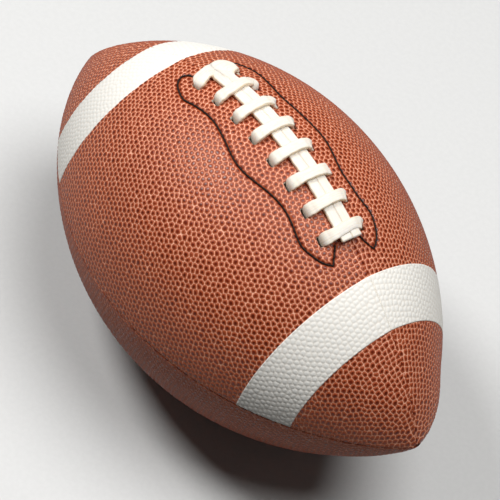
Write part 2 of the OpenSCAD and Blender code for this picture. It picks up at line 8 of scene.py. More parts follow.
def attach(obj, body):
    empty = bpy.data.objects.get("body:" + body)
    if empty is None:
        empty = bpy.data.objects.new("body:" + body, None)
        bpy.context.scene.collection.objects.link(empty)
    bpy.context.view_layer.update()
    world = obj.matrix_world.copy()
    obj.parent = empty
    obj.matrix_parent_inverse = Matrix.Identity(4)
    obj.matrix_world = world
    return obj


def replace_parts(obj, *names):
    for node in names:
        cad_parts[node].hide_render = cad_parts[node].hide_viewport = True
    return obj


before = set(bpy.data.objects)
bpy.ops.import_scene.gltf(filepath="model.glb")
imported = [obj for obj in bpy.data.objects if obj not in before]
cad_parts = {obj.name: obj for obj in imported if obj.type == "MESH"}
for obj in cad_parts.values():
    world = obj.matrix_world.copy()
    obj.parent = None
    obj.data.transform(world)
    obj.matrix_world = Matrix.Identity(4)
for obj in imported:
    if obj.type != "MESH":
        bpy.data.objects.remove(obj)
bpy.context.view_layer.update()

bl_info = {
    "name": "American Football",
    "version": (1, 0, 0),
    "blender": (4, 5, 0),
    "location": "View3D > Sidebar > Football",
    "description": "Builds the looks of a laced, pebbled football round its packed solids",
    "category": "Object",
}

# Sizes of the part's source, in millimetres
MM = 0.001
BALL_LENGTH = 249.0
TIP_SHORT = 0.5
HALF_LEN = BALL_LENGTH / 2 + TIP_SHORT
CROWN = 146.2 / 2
CREASE = 6.2
ARC_R = (HALF_LEN**2 + CROWN**2) / (2 * CROWN)
ARC_DROP = ARC_R - CROWN
SIDE = CREASE / np.sqrt(2)
SEAM_GAP = 0.1
GROOVE_W = 0.6
LOW_EDGE = GROOVE_W + SEAM_GAP / 2
AXIS_Z = np.sqrt((CROWN + CREASE) ** 2 - (LOW_EDGE + SIDE) ** 2) - SIDE
STRIPE_FROM_TIP = 35.9
STRIPE_W = 21.0
STRIPE_SPACE = 10.2
LACE_ROWS = 8
HOLE_SPREAD = 21.2
HOLE_HALF = HOLE_SPREAD / 2
LACING_X = 0.5
LACING_SHIFT = 0.55
LACING_TURN = 1.5
LACING_SKEW = 1.4
LACE_W = 4.5
LACE_T = 1.8
LACE_GAP = 0.45
LACE_LIFT = 0.15
LACE_TAB = 1.6
STRAND_SHIFT = 1.1
SLIT_W = 1.2
FACING_END = 10.7
FACING_RIM = 1.8
FACING_W = 22.9
FACING_HALF = HALF_LEN - STRIPE_FROM_TIP - STRIPE_W - STRIPE_SPACE
ROW_HALF = FACING_HALF - FACING_END
LACE_PITCH = 2 * ROW_HALF / (LACE_ROWS - 1)
SLIT_HALF = ROW_HALF + LACE_W
VALVE_D = 8.0
VALVE_GAP = 0.3
TIP_BULGE = 3.8
RUN_START = 3.4
BEND_ROOM = 0.4
SEAM_PITCH = 6.0
SEAM_END = 25.0
SEAM_THREAD_DEPTH = 2.55

# Direction of each panel's middle, turned from up towards the left, in degrees
PANELS = {
    "panel_lace_left": 45.0,
    "panel_under_left": 135.0,
    "panel_under_right": 225.0,
    "panel_lace_right": 315.0,
}


# Shape of the ball, in millimetres

# Where the fullness beside the near tip rises and ends, and what of it lies all round
BULGE_RISE = (98, 118)
BULGE_END = (127, 121)
BULGE_ROUND = 0.2


def own_radius(x):
    """Distance from a panel's own axis to its skin: an arc, less its drop, plus the axis's offset."""
    return np.sqrt(ARC_R**2 - x**2) - ARC_DROP + CREASE


def panel_axes(angle):
    """Two directions square to the ball's axis: through the panel's middle, and along its girth."""
    a = np.radians(angle)
    out = np.array([0.0, -np.sin(a), np.cos(a)])
    girth = np.array([0.0, -np.cos(a), -np.sin(a)])
    return out, girth


def panel_point(angle, x, turn):
    """Point of a panel's skin, and its normal: own radius turned about the panel's own axis."""
    out, girth = panel_axes(angle)
    radius = own_radius(x)
    place = (radius * np.cos(turn) - CREASE)[..., None] * out
    place = place + (radius * np.sin(turn))[..., None] * girth
    place[..., 0] += x
    place[..., 2] += AXIS_Z
    lean = x / ARC_R
    level = np.sqrt(1 - lean**2)
    normal = (level * np.cos(turn))[..., None] * out + (level * np.sin(turn))[..., None] * girth
    normal[..., 0] += lean
    return place, normal


def edge_turn(x, gap):
    """Turn about the panel's own axis at which its skin is a gap away from the seam's plane."""
    share = (CREASE + gap * np.sqrt(2)) / (own_radius(x) * np.sqrt(2))
    return np.arccos(np.clip(share, -1, 1)) - np.pi / 4


def skin_z(x, y):
    """Height of the upper panels' skin over the ball's axis, at a place seen from above."""
    return np.sqrt(own_radius(x) ** 2 - (np.abs(y) + SIDE) ** 2) - SIDE


def skin_normal(x, y):
    """Normal of the upper panels' skin at a place seen from above."""
    own = own_radius(x)
    lean = x / ARC_R
    level = np.sqrt(1 - lean**2)
    way = np.where(y < 0, -1.0, 1.0)
    return np.stack(
        [lean, level * (y + way * SIDE) / own, level * (skin_z(x, y) + SIDE) / own], axis=-1
    )


def swell(points):
    """Points moved away from the ball's axis beside the near tip, most on the right, where it is fuller."""
    out = points * np.array([0.0, 1.0, 1.0]) - np.array([0.0, 0.0, AXIS_Z])
    far = np.linalg.norm(out, axis=-1, keepdims=True)
    x = points[..., :1]
    share = BULGE_ROUND + (1 - BULGE_ROUND) * np.clip(out[..., 1:2] / far, 0, 1) ** 2
    return points + out / far * TIP_BULGE * share * step_up(*BULGE_RISE, x) * step_up(*BULGE_END, x)


def on_lacing(route):
    """Rows of place along and across the lacing and height over the skin, as points on the ball."""
    route = np.asarray(route, dtype=float)
    x = route[:, 0] + LACING_X + LACING_SKEW * route[:, 1] / HOLE_SPREAD
    y = route[:, 1] - LACING_SHIFT - LACING_TURN * route[:, 0] / ROW_HALF
    points = np.stack([x, y, skin_z(x, y)], axis=-1) + route[:, 2:3] * skin_normal(x, y)
    points[:, 2] += AXIS_Z
    return points


def off_lacing(x, y):
    """The way back: distances along and across the lacing of a place seen from above."""
    skew = LACING_SKEW / HOLE_SPREAD
    turn = LACING_TURN / ROW_HALF
    along = x - LACING_X
    across = (y + LACING_SHIFT + turn * along) / (1 + skew * turn)
    return np.stack([along - skew * across, across], axis=-1)


def row_x(i):
    """Place of a pair of holes along the lacing."""
    return i * LACE_PITCH - ROW_HALF


def step_up(low, high, value):
    """Smooth rise from 0 to 1 between two values."""
    share = np.clip((value - low) / (high - low), 0, 1)
    return share * share * (3 - 2 * share)


def smooth_line(points, n):
    """Catmull-Rom curve through points, with n steps between two of them."""
    p = np.asarray(points, dtype=float)
    ends = np.concatenate([p[:1], p, p[-1:]])
    t = (np.arange(n) / n)[None, :, None]
    p0, p1, p2, p3 = (ends[k : len(ends) - 3 + k, None, :] for k in range(4))
    curve = 0.5 * (
        2 * p1
        + (p2 - p0) * t
        + (2 * p0 - 5 * p1 + 4 * p2 - p3) * t**2
        + (3 * p1 - p0 - 3 * p2 + p3) * t**3
    )
    return np.concatenate([curve.reshape(-1, p.shape[1]), p[-1:]])


def even_line(points, spacing):
    """The same line with points at even distances, and how far along each lies."""
    steps = np.linalg.norm(np.diff(points, axis=0), axis=1)
    along = np.concatenate([[0], np.cumsum(steps)])
    count = max(int(round(along[-1] / spacing)), 2)
    at = np.linspace(0, along[-1], count + 1)
    return np.stack([np.interp(at, along, points[:, k]) for k in range(points.shape[1])], axis=1), at


def unit(v):
    """Vectors of length one."""
    return v / np.maximum(np.linalg.norm(v, axis=-1, keepdims=True), 1e-9)


def line_ways(points):
    """Direction of a line at each of its points."""
    ahead = np.concatenate([points[1:], points[-1:]])
    behind = np.concatenate([points[:1], points[:-1]])
    return unit(ahead - behind)


# Pebbles

# In steps of the grid: how far seeds stray, how far out a pebble's corners reach before they are cut
# round, and the distance between two rows
PEBBLE_STRAY = 0.42
PEBBLE_ROUND = 0.66
HEX_ROW = 0.866
# A distance beyond all that are compared
FAR = 1e3


def scatter(i, j, seed):
    """Two even random shares for each cell of a grid, from an integer mix of its place."""
    with np.errstate(over="ignore"):
        h = i.astype(np.uint32) * np.uint32(374761393) + j.astype(np.uint32) * np.uint32(668265263)
        h = (h ^ (h >> np.uint32(13))) * np.uint32(1274126177) + np.uint32(seed * 7919)
        h = (h ^ (h >> np.uint32(16))) * np.uint32(2246822519)
        h = h ^ (h >> np.uint32(15))
    return (h & np.uint32(0xFFFF)) / 65535.0, (h >> np.uint32(16)) / 65535.0


def pebbles(s, t, slant, pitch, heading, seed):
    """Pebble relief on a panel.

    Seeds lie on a hexagonal grid, each moved a little at random. A point takes its distance to the
    nearest and the second nearest seed, measured along the real skin. Half their difference is how
    far it lies inside its pebble, less at the corners, which are round. Returns that as a share of
    the pitch, and a random tone.
    """
    c, d = np.cos(heading), np.sin(heading)
    u = (c * s + d * t) / pitch
    v = (c * t - d * s) / pitch
    row = np.round(v / HEX_ROW).astype(np.int64)
    col = np.round(u - 0.5 * row).astype(np.int64)
    first, second = np.full((2, *s.shape), FAR)
    tone = np.zeros(s.shape)
    for dj in (-2, -1, 0, 1, 2):
        for di in (-2, -1, 0, 1, 2):
            if abs(di + dj) > 2:
                continue
            i = col + di
            j = row + dj
            a, b = scatter(i, j, seed)
            du = i + 0.5 * j + (a - 0.5) * PEBBLE_STRAY - u
            dv = HEX_ROW * j + (b - 0.5) * PEBBLE_STRAY - v
            ds = c * du - d * dv
            dt = d * du + c * dv + slant * ds
            gap = np.sqrt(ds * ds + dt * dt)
            nearer = gap < first
            second = np.where(nearer, first, np.minimum(second, gap))
            tone = np.where(nearer, (a + 3 * b) % 1.0, tone)
            first = np.where(nearer, gap, first)
    return np.minimum((second - first) / 2, np.maximum(PEBBLE_ROUND - first, 0)), tone


# Meshes


def put_mesh(name, points, faces, attributes=None):
    """Object with a smooth mesh from points in millimetres, faces, and values for each point."""
    mesh = bpy.data.meshes.new(name)
    faces = np.asarray(faces, dtype=np.int32)
    points = np.asarray(points, dtype=np.float32) * MM
    corners = faces.shape[1]
    mesh.vertices.add(len(points))
    mesh.vertices.foreach_set("co", points.ravel())
    mesh.loops.add(faces.size)
    mesh.loops.foreach_set("vertex_index", faces.ravel())
    mesh.polygons.add(len(faces))
    mesh.polygons.foreach_set("loop_start", np.arange(len(faces), dtype=np.int32) * corners)
    mesh.polygons.foreach_set("loop_total", np.full(len(faces), corners, dtype=np.int32))
    mesh.polygons.foreach_set("use_smooth", np.ones(len(faces), dtype=bool))
    for key, values in (attributes or {}).items():
        layer = mesh.attributes.new(key, "FLOAT", "POINT")
        layer.data.foreach_set("value", np.asarray(values, dtype=np.float32).ravel())
    mesh.update()
    mesh.validate()
    piece = bpy.data.objects.new(name, mesh)
    bpy.context.scene.collection.objects.link(piece)
    return piece


def grid_faces(rows, columns, wrap=False):
    """Quads of a grid, its columns closed to a ring when wrap is set."""
    r = np.arange(rows - 1)[:, None]
    c = np.arange(columns if wrap else columns - 1)[None, :]
    n = (c + 1) % columns
    a = r * columns + c
    b = r * columns + n
    return np.stack([a, b, b + columns, a + columns], axis=-1).reshape(-1, 4)


def tube(name, line, across, up, ring, values):
    """Closed tube along a line: at each point, a ring of distances set out along two directions.

    The two end rings are drawn together to a point.
    """
    sides = ring.shape[-2]
    points = line[:, None, :] + ring[..., 0:1] * across[:, None, :] + ring[..., 1:2] * up[:, None, :]
    points = np.concatenate(
        [np.repeat(line[:1, None], sides, 1), points, np.repeat(line[-1:, None], sides, 1)]
    )
    values = {key: np.concatenate([rows[:1], rows, rows[-1:]]) for key, rows in values.items()}
    faces = grid_faces(len(line) + 2, sides, wrap=True)
    return put_mesh(name, points.reshape(-1, 3), faces, values)


# Cover

# Edge of a panel: the band with close columns, their places in it, and the drops of the skirts
EDGE_BAND = 1.3
EDGE_OFFSETS = np.array([0.0, 0.05, 0.14, 0.28, 0.46, 0.7, 1.0])
SKIRT_DROPS = np.array([2.6, 1.5, 0.7])
TIP_SKIRT = (0.9, 2.0)
STRIPE_SKIRT = (0.3,)
# Shape of a pebble: where its dome starts and ends, how steep it is, and its share left at an edge
DOME_START = 0.03
DOME_RISE = 0.36
DOME_POWER = 2.4
EDGE_RELIEF = 0.35
# Groove of the facing's thread: depth, reach, its share off the pebbles' height, and darker tone
GROOVE_DEPTH = 0.55
GROOVE_REACH = 0.75
GROOVE_CALM = 0.55
GROOVE_TONE = 0.12
# Low ridge beside the groove
RIDGE_HEIGHT = 0.1
RIDGE_OFF = 1.5
RIDGE_REACH = 0.8
# A hole as it shows: how far its middle lies outside the lace's, half its width, and its rounding
HOLE_OUT = 0.1
HOLE_WIDE = 1.3
HOLE_SPARE = 0.15
HOLE_ROUND = 0.8
HOLE_DEPTH = 3.0
DIP_DEPTH = 0.22
DIP_REACH = 0.9
VALVE_DEPTH = 2.5
# How far from the lacing's middle, along and across, the groove and the holes are looked for
NEAR_LACING = (66, 30)
# Stitched outline of a facing, as shares of its half length and of its width: along, left, right
OUTLINE_SHARES = (
    (-0.94, 0.35, 0.35), (-0.985, 0.445, 0.445), (-0.975, 0.58, 0.58), (-0.905, 0.735, 0.74),
    (-0.77, 0.86, 0.85), (-0.655, 0.82, 0.84), (-0.545, 0.79, 0.805), (-0.415, 0.797, 0.775),
    (-0.26, 0.875, 0.815), (-0.08, 0.98, 0.87), (0.03, 1.0, 0.893), (0.14, 0.965, 0.87),
    (0.31, 0.845, 0.77), (0.405, 0.79, 0.738), (0.505, 0.765, 0.748), (0.605, 0.782, 0.768),
    (0.72, 0.823, 0.83), (0.79, 0.817, 0.823), (0.88, 0.725, 0.745), (0.95, 0.615, 0.63),
    (1.0, 0.465, 0.485),
)
RETURN_SHARES = ((1.0, 0.465, 0.485), (0.94, 0.355, 0.375), (0.88, 0.25, 0.3))


def facing_outline(side):
    """Stitched outline of a lace facing: a smooth line to its sharp tip, then straight back."""
    column = 1 if side < 0 else 2
    line = np.concatenate([smooth_line(OUTLINE_SHARES, 8), smooth_line(RETURN_SHARES, 4)[1:]])
    return np.stack([line[:, 0] * FACING_HALF, side * line[:, column] * FACING_W], axis=1)


def distance_to_line(points, line):
    """Least distance from points to the straight pieces of a line, both seen from above."""
    least = np.full(points.shape[:-1], FAR)
    for a, b in zip(line[:-1], line[1:]):
        way = b - a
        share = np.clip(((points - a) @ way) / max(way @ way, 1e-9), 0, 1)
        least = np.minimum(least, np.linalg.norm(points - a - share[..., None] * way, axis=-1))
    return least


def lace_cuts(place, side):
    """Signed distance from places on the skin to the nearest lace hole, a slot with round ends."""
    rows = np.array([[row_x(i), side * (HOLE_HALF + HOLE_OUT), 0.0] for i in range(LACE_ROWS)])
    lean = np.arctan(LACING_SKEW / HOLE_SPREAD)
    nearest = np.full(place.shape[:-1], FAR)
    for centre in on_lacing(rows):
        normal = skin_normal(centre[0], centre[1])
        level = unit(np.array([normal[2], 0.0, -normal[0]]))
        girth = np.cross(normal, level)
        along = np.cos(lean) * level - np.sin(lean) * girth
        over = np.sin(lean) * level + np.cos(lean) * girth
        off = place - centre
        a = np.abs(off @ along) - (LACE_W / 2 + HOLE_SPARE) + HOLE_ROUND
        b = np.abs(off @ over) - HOLE_WIDE + HOLE_ROUND
        gap = np.hypot(np.maximum(a, 0), np.maximum(b, 0)) + np.minimum(np.maximum(a, b), 0)
        nearest = np.minimum(nearest, gap - HOLE_ROUND)
    return nearest


def cover_columns(interior):
    """Columns over a panel: skirts into both seams, close ones on the rolled edges, even ones between.

    Returns each column's share of the width, its offset, and its drop.
    """
    share = np.linspace(0, 1, interior)
    k = len(EDGE_OFFSETS)
    n = len(SKIRT_DROPS)
    across = np.concatenate([np.zeros(n + k), share, np.ones(n + k)])
    band = EDGE_BAND * (1 - 2 * share)
    offset = np.concatenate([np.zeros(n), EDGE_OFFSETS, band, -EDGE_OFFSETS[::-1], np.zeros(n)])
    drop = np.concatenate([SKIRT_DROPS, np.zeros(2 * k + interior), SKIRT_DROPS[::-1]])
    return across, offset, drop


def cover_skin(node, s, row_drop, interior, sizes, lift=0.0, skirt=1.0, calm_share=1.0):
    """Pebbled skin of one panel on a grid.

    Rows run tip to tip at even steps of the crown's arc, columns from seam to seam. The skin rolls
    over in a quarter circle at its edges, carries pebbles, and has the facing's groove and the lace
    holes pressed in. Returns points and the values that the finishes read.
    """
    angle = PANELS[node]
    upper = "lace" in node
    side = -1 if "left" in node else 1
    across, offset, drop = cover_columns(interior)
    x = ARC_R * np.sin(s / ARC_R)
    plain = np.full_like(x, SEAM_GAP / 2)
    slit = np.where(np.abs(x - LACING_X) < SLIT_HALF, SLIT_W / 2, plain)
    radius = own_radius(x)
    low = (-radius * edge_turn(x, slit if upper and side < 0 else plain))[:, None]
    high = (radius * edge_turn(x, slit if upper and side > 0 else plain))[:, None]
    width = high - low
    scale = np.minimum(1.0, width / (4 * EDGE_BAND))
    t = low + across * width + offset * scale
    turn = t / radius[:, None]
    ss, xx = (np.broadcast_to(value[:, None], t.shape) for value in (s, x))
    place, normal = panel_point(angle, xx, turn)
    from_tip = np.maximum(arc_at(HALF_LEN - 0.2) - np.abs(s), 0)[:, None]
    inset = np.minimum(np.minimum(t - low, high - t), from_tip)
    roll = sizes.seam_roll / MM * scale
    fall = 1 - np.sqrt(1 - np.clip((roll - inset) / roll, 0, 1) ** 2)
    slant = turn * (x / np.sqrt(ARC_R**2 - x**2))[:, None]
    pitch = sizes.pebble_pitch / MM
    inside, tone = pebbles(ss, t, slant, pitch, np.radians(angle * 0.3 + 8), int(angle))
    dome = 1 - (1 - np.clip((inside - DOME_START) / DOME_RISE, 0, 1)) ** DOME_POWER
    calm = EDGE_RELIEF + (1 - EDGE_RELIEF) * step_up(0.1, 0.9, inset)
    relief = sizes.pebble_height / MM * calm_share * (dome - 1) * calm
    seam_depth = sizes.seam_depth / MM
    depth = seam_depth * fall * scale + skirt * drop * scale + row_drop[:, None]
    # painted shade: the skirts darken the deeper they go into a seam
    cut = np.clip(depth - seam_depth * 0.9, 0, 1) * 0.6
    hole = np.zeros_like(t)
    if upper:
        local = off_lacing(place[..., 0], place[..., 1])
        near = np.all(np.abs(local) < NEAR_LACING, axis=-1)
        gap, lace_gap = np.full((2, *t.shape), FAR)
        gap[near] = distance_to_line(local[near], facing_outline(side))
        groove = np.exp(-((gap / GROOVE_REACH) ** 2))
        relief = relief * (1 - GROOVE_CALM * groove) - GROOVE_DEPTH * groove
        relief += RIDGE_HEIGHT * np.exp(-(((gap - RIDGE_OFF) / RIDGE_REACH) ** 2))
        inside = inside + GROOVE_TONE * groove
        lace_gap[near] = lace_cuts(place[near], side)
        dip = DIP_DEPTH * np.exp(-((np.maximum(lace_gap, 0) / DIP_REACH) ** 2))
        sunk = HOLE_DEPTH * step_up(0.12, -0.5, lace_gap) + dip
        relief = relief * step_up(-0.2, 0.7, lace_gap) - sunk
        # the left rims, pulled open by the lace, show pale cloth round painted shade deep in each hole; the
        # right slots get painted shade on their walls
        if side < 0:
            hole = step_up(0.45, -0.35, lace_gap)
        else:
            cut = np.maximum(cut, step_up(0.1, -0.5, lace_gap))
    if node == "panel_under_right":
        off = np.hypot(ss, t) - (VALVE_D / 2 + VALVE_GAP)
        relief = relief * step_up(0.0, 0.9, off) - VALVE_DEPTH * step_up(0.3, -0.3, off)
        # the valve's opening: pale cloth at its rim, painted shade inside
        hole = step_up(0.2, -0.1, off)
    points = swell(place + normal * (lift + relief - depth)[..., None])
    return points, {"inside": inside, "tone": tone, "cut": cut, "hole": hole}


def cover_piece(name, node, rows, interior, sizes, before=(), after=(), **options):
    """One stretch of a panel's skin as a piece; drops before and after it turn its ends in as skirts."""
    s = np.concatenate([[rows[0]] * len(before), rows, [rows[-1]] * len(after)])
    row_drop = np.concatenate([before, np.zeros(len(rows)), after])
    points, values = cover_skin(node, s, row_drop, interior, sizes, **options)
    piece = put_mesh(name, points.reshape(-1, 3), grid_faces(*points.shape[:2]), values)
    if rows[-1] < rows[0]:
        piece.data.flip_normals()
    return piece


def arc_at(x):
    """Distance along the crown's arc from the ball's middle to a place along its axis."""
    return ARC_R * np.arcsin(x / ARC_R)


def even_rows(start, end, spacing):
    """Rows from one place along the arc to another, no further apart than the spacing."""
    return np.linspace(start, end, int(np.ceil(abs(end - start) / spacing)) + 1)


# Lace

# Heights of the strands and of the bars that cross them, and where the strands lie
STRAND_H = LACE_LIFT + LACE_T / 2
STRAND_Y = (LACE_W + LACE_GAP) / 2
STRAND_CLOSE = 0.275
BAR_DROP = 0.35
BAR_H = LACE_LIFT + LACE_T + LACE_GAP + LACE_T / 2 - BAR_DROP
BAR_CREST = BAR_H * 1.05
BAR_Y_SHARES = (0.54, 0.34)
BAR_H_SHARES = (0.94, 1.02)
# How far each bar's right half leans to the far end
BAR_LEAN = (0.0, 1.9, 0.9, 0.6, 0.6, 0.0, 0.5, 0.8)
# A bar's stem in its hole, and its bend out of it: an oval, its share of the bar's height, its foot
STEM_DEPTH = 1.8
BEND_IN = 0.9
BEND_WIDE = 2.4
BEND_SHARE = 0.7
BEND_LOW = 0.3
# Runs inside the ball: depth, radius of the turns, and the lane along one side
RUN_DEPTH = RUN_START + LACE_T / 2 + BEND_ROOM
TURN_R = (LACE_W + LACE_GAP) * 0.67
LANE_Y = HOLE_HALF - TURN_R - LACE_T / 2 - BEND_ROOM
# Cut ends past the near bar: where they stop, come free, part, rise and widen
TAB_END = ROW_HALF + LACE_W / 2 + LACE_TAB - LACE_GAP
TAB_MORE = 1.2
TAB_BEFORE = 1.2
TAB_AFTER = 2.0
TAB_SPLAY = 0.05
TAB_RISE = 1.8
TAB_WIDE = 0.75
TAB_WIDENING = 2.5
# What the lace gains in half width: on bars, on strands, and towards the ends of the bars
BAR_MORE = 0.35
STRIP_MORE = 0.25
END_WIDE = 0.4
END_FROM = 4.0
END_TO = 8.0
# Section: corner radius, height of the crown, depth of the two lines beside it, length of a round end
LACE_CORNER = 0.62
LACE_CROWN = 0.14
LACE_LINES = 0.035
LACE_END = 0.8
# The fold inside the left arm of the arch
FOLD_OFF = 4.3
FOLD_LEAN = 0.12
FOLD_REACH = 0.4
FOLD_DEPTH = 0.25
# The arch at the far end, as places of the lace's two edges: along from the first pair of holes,
# across, and over the skin. The inner edge turns on the spot, the outer one swings round it.
LEFT_ARCH = (
    ((3.2, -3.6, 1.05), (3.2, 1.35, 0.95)),
    ((1.7, -3.6, 1.1), (-1.5, 1.5, 0.75)),
    ((0.9, -3.7, 1.3), (-4.6, 2.0, 0.85)),
    ((0.6, -4.1, 1.55), (-6.7, 2.2, 1.3)),
    ((0.8, -4.8, 1.7), (-6.6, -0.8, 2.3)),
    ((1.4, -5.8, 1.8), (-5.7, -3.8, 2.4)),
    ((2.1, -7.0, 1.85), (-4.9, -6.6, 2.35)),
    ((2.7, -8.2, 1.75), (-4.2, -8.8, 2.1)),
    ((3.1, -9.3, 1.35), (-3.2, -10.2, 1.6)),
    ((3.0, -10.2, 0.6), (-1.8, -10.9, 0.8)),
    ((2.3, -10.5, -0.5), (-1.5, -10.8, -0.5)),
)
RIGHT_ARCH = (
    ((3.2, 6.2, 1.05), (3.2, 0.85, 0.95)),
    ((2.5, 6.7, 1.1), (-1.5, 0.3, 0.85)),
    ((2.2, 7.1, 1.25), (-4.6, -0.4, 1.05)),
    ((2.0, 7.4, 1.35), (-6.8, -0.8, 1.65)),
    ((1.9, 7.7, 1.45), (-7.4, 2.4, 2.2)),
    ((1.8, 8.1, 1.5), (-7.6, 5.2, 2.35)),
    ((1.6, 8.6, 1.5), (-6.9, 7.6, 2.3)),
    ((1.3, 9.1, 1.4), (-5.5, 8.9, 2.1)),
    ((0.8, 9.7, 1.3), (-4.3, 10.3, 1.7)),
    ((0.6, 10.2, 0.7), (-3.4, 11.0, 1.0)),
    ((1.2, 10.3, -0.6), (-2.2, 10.9, -0.6)),
)


def quarter(count):
    """Angles over a quarter turn, in even steps."""
    return np.radians(90 * np.arange(count) / (count - 1))


def bend_over(x, side):
    """Stem and bend from a hole up over its edge: a quarter of an oval that leans inwards."""
    a = quarter(5)
    y = HOLE_HALF - BEND_IN - BEND_WIDE * (1 - np.cos(a))
    h = (BAR_H * BEND_SHARE + BEND_LOW) * np.sin(a) - BEND_LOW
    y = side * np.concatenate([y[:1], y])
    h = np.concatenate([[-STEM_DEPTH], h])
    return np.stack([np.full(6, x), y, h], axis=1)


def bend_under(x, side):
    """Bend from a hole to the run inside: a quarter of an oval."""
    a = quarter(4)
    bend = LACE_T / 2 + BEND_ROOM
    y = side * (HOLE_HALF - BEND_IN - (bend - BEND_IN) * (1 - np.cos(a)))
    return np.stack([np.full(4, x), y, -RUN_START - bend * np.sin(a)], axis=1)


def bar_side(x, side, lean):
    """Half a bar, from its hole to beside the strands; the right half leans to the far end."""
    rest = [[x, side * HOLE_HALF * a, BAR_H * b] for a, b in zip(BAR_Y_SHARES, BAR_H_SHARES)]
    half = np.concatenate([bend_over(x, side), rest])
    if side > 0:
        half[:, 0] -= lean * step_up(0.0, BAR_H * 0.6, half[:, 2])
    return half


def bar(i, side):
    """A bar over both strands, from a hole on one side to the hole across."""
    x = row_x(i)
    lean = BAR_LEAN[i]
    crest = [[x - lean / 2, 0, BAR_CREST]]
    return np.concatenate([bar_side(x, side, lean), crest, bar_side(x, -side, lean)[::-1]])


def run_end(i, side, way, lane):
    """From a hole down and round into the lane of an inner run."""
    a = quarter(4)
    x = row_x(i)
    along = x + way * TURN_R * (1 - np.cos(a))
    across = side * (lane + TURN_R * (1 - np.sin(a)))
    turn = np.stack([along, across, np.full(4, -RUN_DEPTH)], axis=1)
    return np.concatenate([bend_under(x, side), turn])


def inner_run(i, j, side, lane):
    """A run inside the ball between two holes of one side."""
    way = 1 if j > i else -1
    x0 = row_x(i) + way * TURN_R
    x1 = row_x(j) - way * TURN_R
    n = 2 * abs(j - i) - 1
    middle = np.array([[x0 + (x1 - x0) * k / n, side * lane, -RUN_DEPTH] for k in range(1, n)])
    parts = [run_end(i, side, way, lane), middle.reshape(-1, 3), run_end(j, side, -way, lane)[::-1]]
    return np.concatenate(parts)


def own_width(rows):
    """Rows of a route with no half width given, so that they take the lace's own."""
    return np.concatenate([rows, np.zeros_like(rows)], axis=1)


def strand(side):
    """A strand from its cut end along the lacing, then out in an arch to the first hole.

    Its cut end rises and widens a little. The arch carries half the lace's width as three more
    columns.
    """
    y0 = STRAND_SHIFT + side * (STRAND_Y - STRAND_CLOSE)
    x = row_x(0)
    along = np.linspace(TAB_END + TAB_MORE, x + LACE_W, 4 * (LACE_ROWS - 1) + 1)
    free = step_up(ROW_HALF - TAB_BEFORE, ROW_HALF + TAB_AFTER, along)
    across = y0 + side * TAB_SPLAY * free
    straight = np.stack([along, across, STRAND_H + TAB_RISE * free], axis=1)
    edges = np.array(LEFT_ARCH if side < 0 else RIGHT_ARCH)
    edges[..., 0] += x
    arch = np.concatenate([edges.mean(axis=1), (edges[:, 1] - edges[:, 0]) / 2], axis=1)
    return np.concatenate([own_width(straight), smooth_line(arch, 2)])


def lace_route():
    """The lace from one cut end to the other.

    Each row holds a place along, across and over the lacing, and half the lace's width there,
    which is zero where it is the lace's own, laid level with the skin.
    """
    parts = [strand(-1)]
    for i in range(LACE_ROWS - 1):
        side = -1 if i % 2 == 0 else 1
        parts += [own_width(inner_run(i, i + 1, side, LANE_Y)), own_width(bar(i + 1, side))]
    parts += [own_width(inner_run(LACE_ROWS - 1, 0, 1, 0.0)), strand(1)[::-1]]
    route = np.concatenate(parts)
    apart = np.linalg.norm(np.diff(route[:, :3], axis=0), axis=1) > 1e-6
    return route[np.concatenate([[True], apart])]


def lace_widths(line, normals):
    """Direction across the lace at each point: square to its way and to the skin, never turned over.

    Where the lace runs straight through the skin, the direction before it is carried on.
    """
    ways = line_ways(line)
    widths = np.zeros_like(line)
    before = np.array([0.0, 1.0, 0.0])
    for k in range(len(line)):
        w = np.cross(normals[k], ways[k])
        if np.linalg.norm(w) < 0.3:
            w = before
        elif w @ before < 0:
            w = -w
        w = w - (w @ ways[k]) * ways[k]
        before = w / np.linalg.norm(w)
        widths[k] = before
    return widths


def lace_line():
    """The lace's smooth line: points, halves of its width, share of the arch, and steps along.

    Where the route gives the half width, as on the arch, it is taken from there. Elsewhere it is
    the lace's own, level with the skin, and wider where the lace lies outside.
    """
    route = lace_route()
    line = on_lacing(route)
    outside = step_up(-1.0, 0.5, route[:, 2])
    strip = outside * (1 - step_up(BAR_H * 0.5, BAR_H * 0.6, route[:, 2]))
    half = LACE_W / 2 + BAR_MORE * outside + (STRIP_MORE - BAR_MORE) * strip
    half = half + END_WIDE * outside * step_up(END_FROM, END_TO, np.abs(route[:, 1]))
    half = half + TAB_WIDE * strip * step_up(ROW_HALF, ROW_HALF + TAB_WIDENING, route[:, 0])
    halves = half[:, None] * lace_widths(line, skin_normal(line[:, 0], line[:, 1]))
    given = np.linalg.norm(route[:, 3:], axis=1) > 0
    swung = on_lacing(route[given, :3] + route[given, 3:]) - line[given]
    halves[given] = swung * np.where(np.sum(swung * halves[given], axis=1) < 0, -1, 1)[:, None]
    # even steps over all ten columns, so the rings lie closer where the lace turns
    joined = np.concatenate([line, halves, route[:, :3], given[:, None]], axis=1)
    fine, along = even_line(smooth_line(joined, 4), 0.5)
    points = fine[:, :3]
    # a few passes that round the route's corners
    for _ in range(3):
        points[1:-1] = (points[:-2] + 2 * points[1:-1] + points[2:]) / 4
    return points, fine[:, 3:6], fine[:, 9:10], along


def lace_ring():
    """Rounded rectangle as shares: which corner each point belongs to, and its way out of the corner.

    Points lie at a corner's place plus the corner radius times the way out.
    """
    turn = np.radians(np.linspace(0, 90, 7))
    flat = np.linspace(1, -1, 14)[1:-1]
    parts = []
    for k, (x, y) in enumerate(((1, 1), (-1, 1), (-1, -1), (1, -1))):
        a = turn + k * np.pi / 2
        parts.append(np.stack([np.full(7, x), np.full(7, y), np.cos(a), np.sin(a)], axis=1))
        if k in (0, 2):
            n = len(flat)
            parts.append(np.stack([x * flat, np.full(n, y), np.zeros(n), np.full(n, y)], axis=1))
    return np.concatenate(parts)


